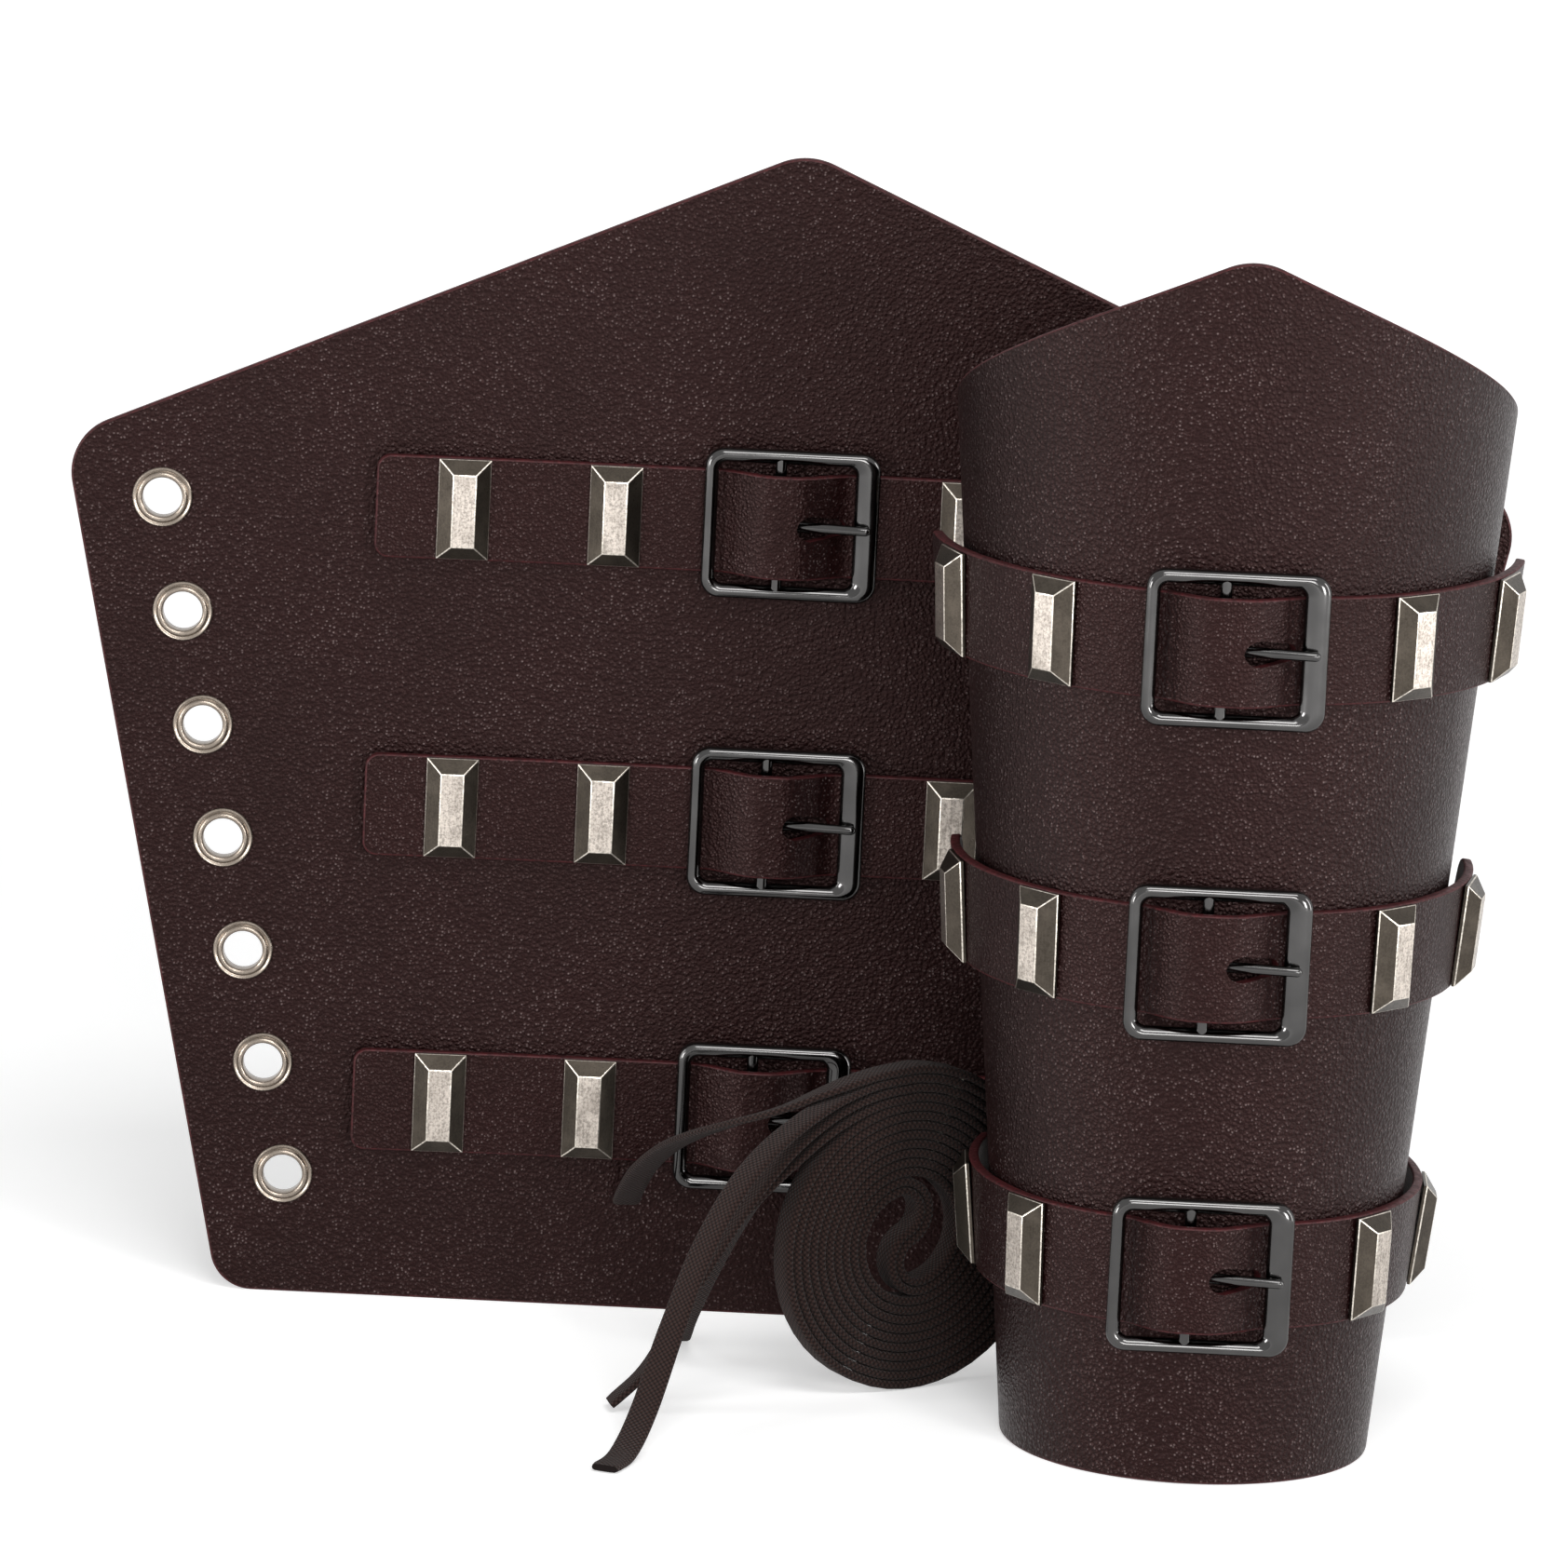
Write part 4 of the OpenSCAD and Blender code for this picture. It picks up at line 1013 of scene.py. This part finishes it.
class ARMGUARD_OT_studs(bpy.types.Operator):
    """Set four faceted studs on every strap"""
    bl_idname = "armguard.studs"
    bl_label = "Studs"
    tab_gaps = (0.00015, 0.00035)            # behind the leather, open and rolled
    leg_width, leg_thick, leg_inset = 0.0024, 0.0006, 0.0045
    tab = 0.0036                # length of a bent leg
    slope, edge, flat = range(3)

    def execute(self, context):
        plan, stud = layout(), context.scene.arm_guards.stud
        for name, rolled in GUARDS:
            gap = self.tab_gaps[rolled]
            inner = self.make_stud(plan, plan.strap_height(rolled, stud.inner) + plan.half + gap)
            outer = self.make_stud(plan, plan.sizes.strap.thickness / 2 + gap)
            where = [(s, z) for z in plan.strap_zs
                     for s in (-stud.outer, -stud.inner, stud.inner, stud.outer)]
            marked = {i for i, (s, _) in enumerate(where) if abs(s) > stud.inner}
            piece = repeated(name + "_studs", [plan.on_strap(rolled, s, z) for s, z in where],
                             inner, finish("antique_pewter"), outer, marked)
            dressed(piece, "stud_metal", *[f"{name}_studs_{level}" for level in LEVELS])
        return {"FINISHED"}

    def make_stud(self, plan, through):
        """A faceted head with rubbed edges, and two legs that are bent over behind."""
        stud = plan.sizes.stud
        base = -plan.sizes.strap.thickness / 2 - HAIR
        wide, tall = stud.width / 2, stud.length / 2
        levels = ((wide, tall, base), (wide, tall, base - stud.rim),
                  (stud.top_width / 2, stud.top_length / 2, base - stud.height))
        bm = bmesh.new()
        faces = add_rings(bm, [[(x, y, z) for x, z in box_corners(-w, w, -h, h)]
                               for w, h, y in levels])
        faces[-1].material_index = self.flat
        bmesh.ops.recalc_face_normals(bm, faces=bm.faces)
        edges = [e for e in bm.edges if max(v.co.y for v in e.verts) < base - stud.rim / 2]
        bmesh.ops.bevel(bm, geom=edges, offset=stud.wear, segments=2, profile=0.5,
                        affect="EDGES", clamp_overlap=True, material=self.edge)
        leg_at, thick, half = tall - self.leg_inset, self.leg_thick, self.leg_width / 2
        for up in (-1, 1):
            # The leg goes through, and its tab is bent towards the middle of the stud.
            leg = leg_at * up - thick / 2
            tab = leg_at * up - (self.tab - thick / 2 if up > 0 else thick / 2)
            for y0, y1, z0, z1 in ((base - HAIR, through, leg, leg_at * up + thick / 2),
                                   (through, through + thick, tab, tab + self.tab)):
                add_rings(bm, [[(x, y, z) for x, z in box_corners(-half, half, z0, z1)]
                               for y in (y0, y1)])
        mesh = as_mesh("stud", bm, sharp_degrees=25)
        wear = mesh.attributes.new("wear", "FLOAT", "FACE")
        # The slopes' low value gives them the darker colour, partly dark oxide and partly painted
        # shade.
        rubbed = {self.slope: 0.0, self.edge: 1.0, self.flat: 0.5}
        wear.data.foreach_set("value", [rubbed[f.material_index] for f in mesh.polygons])
        mesh.polygons.foreach_set("material_index", [0] * len(mesh.polygons))
        return link("stud", mesh)


class ARMGUARD_OT_eyelets(bpy.types.Operator):
    """Set the eyelets and their washers down both side edges"""
    bl_idname = "armguard.eyelets"
    bl_label = "Eyelets"
    # Outer rim, groove, raised inner ring and lip, as shares of the flange's width and height.
    crown = ((1.0, 0.0), (1.0, 0.22), (0.965, 0.42), (0.88, 0.56), (0.78, 0.54), (0.69, 0.40),
             (0.62, 0.38), (0.55, 0.52), (0.47, 0.80), (0.37, 0.96), (0.26, 1.0), (0.14, 0.93),
             (0.05, 0.76), (0.0, 0.5))
    lip = 0.00055               # width of the barrel's rolled end
    # The rolled end inside and outside the barrel, in metres: distance out of it, and height.
    inside = ((0, 0.0003), (0.00006, 0.0001), (0.0002, 0))
    outside = ((lip * 0.6, 0), (lip * 0.9, 0.0001), (lip, 0.00026), (0, 0.00028))
    steps = 48

    def execute(self, context):
        plan = layout()
        for name, rolled in GUARDS:
            part = link("eyelet", as_mesh("eyelet", self.make_eyelet(plan, rolled)))
            matrices = [plan.place(rolled, x, z) @ OUTWARD for x, z in plan.eyelet_places()]
            piece = repeated(name + "_eyelets", matrices, part, finish("dark_nickel"))
            dressed(piece, "eyelet_metal", *[
                f"{name}_{kind}_{side}" for kind in ("eyelets", "washers") for side in SIDES])
        return {"FINISHED"}

    def make_eyelet(self, plan, rolled):
        """The flange and barrel in one, and the washer that the barrel is set over."""
        eyelet, top = plan.sizes.eyelet, plan.half
        bore, barrel = eyelet.bore_radius, eyelet.bore_radius + eyelet.wall
        washer_top = -plan.half - plan.washer_off(rolled)
        washer_end = washer_top - eyelet.washer
        end = washer_end - eyelet.barrel_out
        profile = [(bore + r * (eyelet.flange_radius - bore), top + h * eyelet.flange_height)
                   for r, h in self.crown]
        profile += [(bore + r, end + h) for r, h in self.inside]
        profile += [(barrel + r, end + h) for r, h in self.outside] + [(barrel, top)]
        bm = bmesh.new()
        lathe(bm, profile, self.steps)
        inner, outer = barrel + HAIR / 2, eyelet.flange_radius - plan.washer_in
        lathe(bm, [(inner, washer_top), (inner, washer_end), (outer - HAIR, washer_end),
                   (outer, washer_end + HAIR), (outer, washer_top)], self.steps)
        return bm


class ARMGUARD_OT_buckles(bpy.types.Operator):
    """Put a centre-bar buckle frame on every strap"""
    bl_idname = "armguard.buckles"
    bl_label = "Buckles"
    # A rail from its outer to its inner edge, as shares of its width and half thickness.
    section = ((0.10, -1.0), (0.0, -0.82), (0.0, 0.0), (0.03, 0.34), (0.10, 0.62), (0.20, 0.82),
               (0.32, 0.94), (0.44, 0.99), (0.56, 0.96), (0.70, 0.83), (0.83, 0.62),
               (0.94, 0.34), (1.0, 0.0), (1.0, -0.82), (0.90, -1.0))
    corner_steps, bar_steps = 8, 24

    def execute(self, context):
        plan = layout()
        for name, rolled in GUARDS:
            matrices = [plan.on_bar(rolled, z) @ OUTWARD for z in plan.strap_zs]
            piece = repeated(name + "_buckles", matrices, self.make_frame(plan),
                             finish("polished_gunmetal"))
            dressed(piece, "buckle_metal", *[f"{name}_buckle_{level}" for level in LEVELS])
        return {"FINISHED"}

    def make_frame(self, plan):
        """A frame with crowned rails, one of them broad, and the bar across its middle."""
        buckle = plan.sizes.buckle
        x, z, half = buckle.width / 2, buckle.height / 2, buckle.thickness / 2
        window = box_corners(-x + buckle.rail, x - buckle.rest, -z + buckle.rail, z - buckle.rail)
        outer, inner = [rounded_outline(corners, [radius] * 4, self.corner_steps)
                        for corners, radius in ((box_corners(-x, x, -z, z), buckle.corner),
                                                (window, buckle.inner_corner))]
        bm = bmesh.new()
        add_rings(bm, [[(*a.lerp(b, t), h * half) for t, h in self.section]
                       for a, b in zip(outer, inner)], closed=True)
        bar = circle(buckle.bar_radius, self.bar_steps, plan.bar_x)
        reach = z - buckle.rail / 2
        add_rings(bm, [[(across, end, out) for across, out in bar] for end in (-reach, reach)])
        return link("frame", as_mesh("frame", bm, sharp_degrees=50))


class ARMGUARD_OT_prongs(bpy.types.Operator):
    """Hang a prong on every centre bar, through the strap's slot"""
    bl_idname = "armguard.prongs"
    bl_label = "Prongs"
    eye_half = 0.0017           # half the eye's width along the bar
    eye_round = 0.0003          # rounding of the eye's edges
    rest_in = 0.0013            # from the middle of the broad rail to where the prong rests
    rest_gap = 0.0002           # between the prong and the rail
    eye_steps, shank_steps, shank_sides = 40, 8, 20
    thinning, blunt = 0.1, 0.06              # of the shank at its tip, and the tip's very end
    steepness = (18, 36, 54, 70, 82, 90)     # of the rounded tip, in degrees

    def execute(self, context):
        plan = layout()
        for name, rolled in GUARDS:
            for level, z in zip(LEVELS, plan.strap_zs):
                node = f"{name}_prong_{level}"
                bm = self.make_prong(plan)
                bmesh.ops.transform(bm, verts=bm.verts, matrix=plan.on_bar(rolled, z, plan.bar_x))
                mesh = as_mesh(node + "_metal", bm, [finish("polished_gunmetal")],
                               sharp_degrees=50)
                dressed(link(node + "_metal", mesh), "buckle_metal", node, body=node)
        return {"FINISHED"}

    def make_prong(self, plan):
        """An eye round the bar and a shank that tapers a little to its rounded tip."""
        buckle = plan.sizes.buckle
        inner, outer, half, soft = (buckle.bar_radius + RUNNING_FIT, plan.eye, self.eye_half,
                                    self.eye_round)
        bm = bmesh.new()
        lathe(bm, [(inner, -half), (outer - soft, -half), (outer, -half + soft),
                   (outer, half - soft), (outer - soft, half), (inner, half)], self.eye_steps)
        reach = (buckle.width - buckle.rest) / 2 - plan.bar_x - self.rest_in
        rise = math.atan((buckle.thickness / 2 + buckle.shank_radius + self.rest_gap) / reach)
        turn = Matrix.Rotation(-rise, 3, "Z")
        bar, radius, tip = buckle.bar_radius, buckle.shank_radius, buckle.prong
        steps = self.shank_steps
        stations = [bar + (tip - radius - bar) * i / steps for i in range(steps + 1)]
        rings = [(x, 1.0 - self.thinning * (x / tip) ** 2) for x in stations]
        rings += [(tip - radius + radius * math.sin(a),
                   (1 - self.thinning) * max(math.cos(a), self.blunt))
                  for a in [math.radians(d) for d in self.steepness]]
        rings = [[turn @ Vector((x, y, z)) for y, z in circle(radius * size, self.shank_sides)]
                 for x, size in rings]
        add_rings(bm, rings)
        return bm


OPERATORS = (ARMGUARD_OT_studio, ARMGUARD_OT_laces, ARMGUARD_OT_leather, ARMGUARD_OT_straps,
             ARMGUARD_OT_studs, ARMGUARD_OT_eyelets, ARMGUARD_OT_buckles, ARMGUARD_OT_prongs)


class ARMGUARD_PT_panel(bpy.types.Panel):
    """Lists the pieces of the pair"""
    bl_idname = "ARMGUARD_PT_panel"
    bl_label = "Arm guards"
    bl_space_type = "VIEW_3D"
    bl_region_type = "UI"
    bl_category = "Arm guards"

    def draw(self, context):
        for operator in OPERATORS:
            self.layout.operator(operator.bl_idname)


CLASSES = (LeatherSizes, RollSizes, EyeletSizes, StrapSizes, StudSizes, BuckleSizes, LaceSizes,
           Colours, StudioSizes, ArmGuards, *OPERATORS, ARMGUARD_PT_panel)


def register():
    for item in CLASSES:
        bpy.utils.register_class(item)
    bpy.types.Scene.arm_guards = PointerProperty(
        name="Arm guards", description="Sizes and colours of the pair", type=ArmGuards)


def unregister():
    del bpy.types.Scene.arm_guards
    for item in reversed(CLASSES):
        bpy.utils.unregister_class(item)


def main():
    register()
    for operator in OPERATORS:
        family, name = operator.bl_idname.split(".")
        getattr(getattr(bpy.ops, family), name)()


if __name__ == "__main__":
    main()
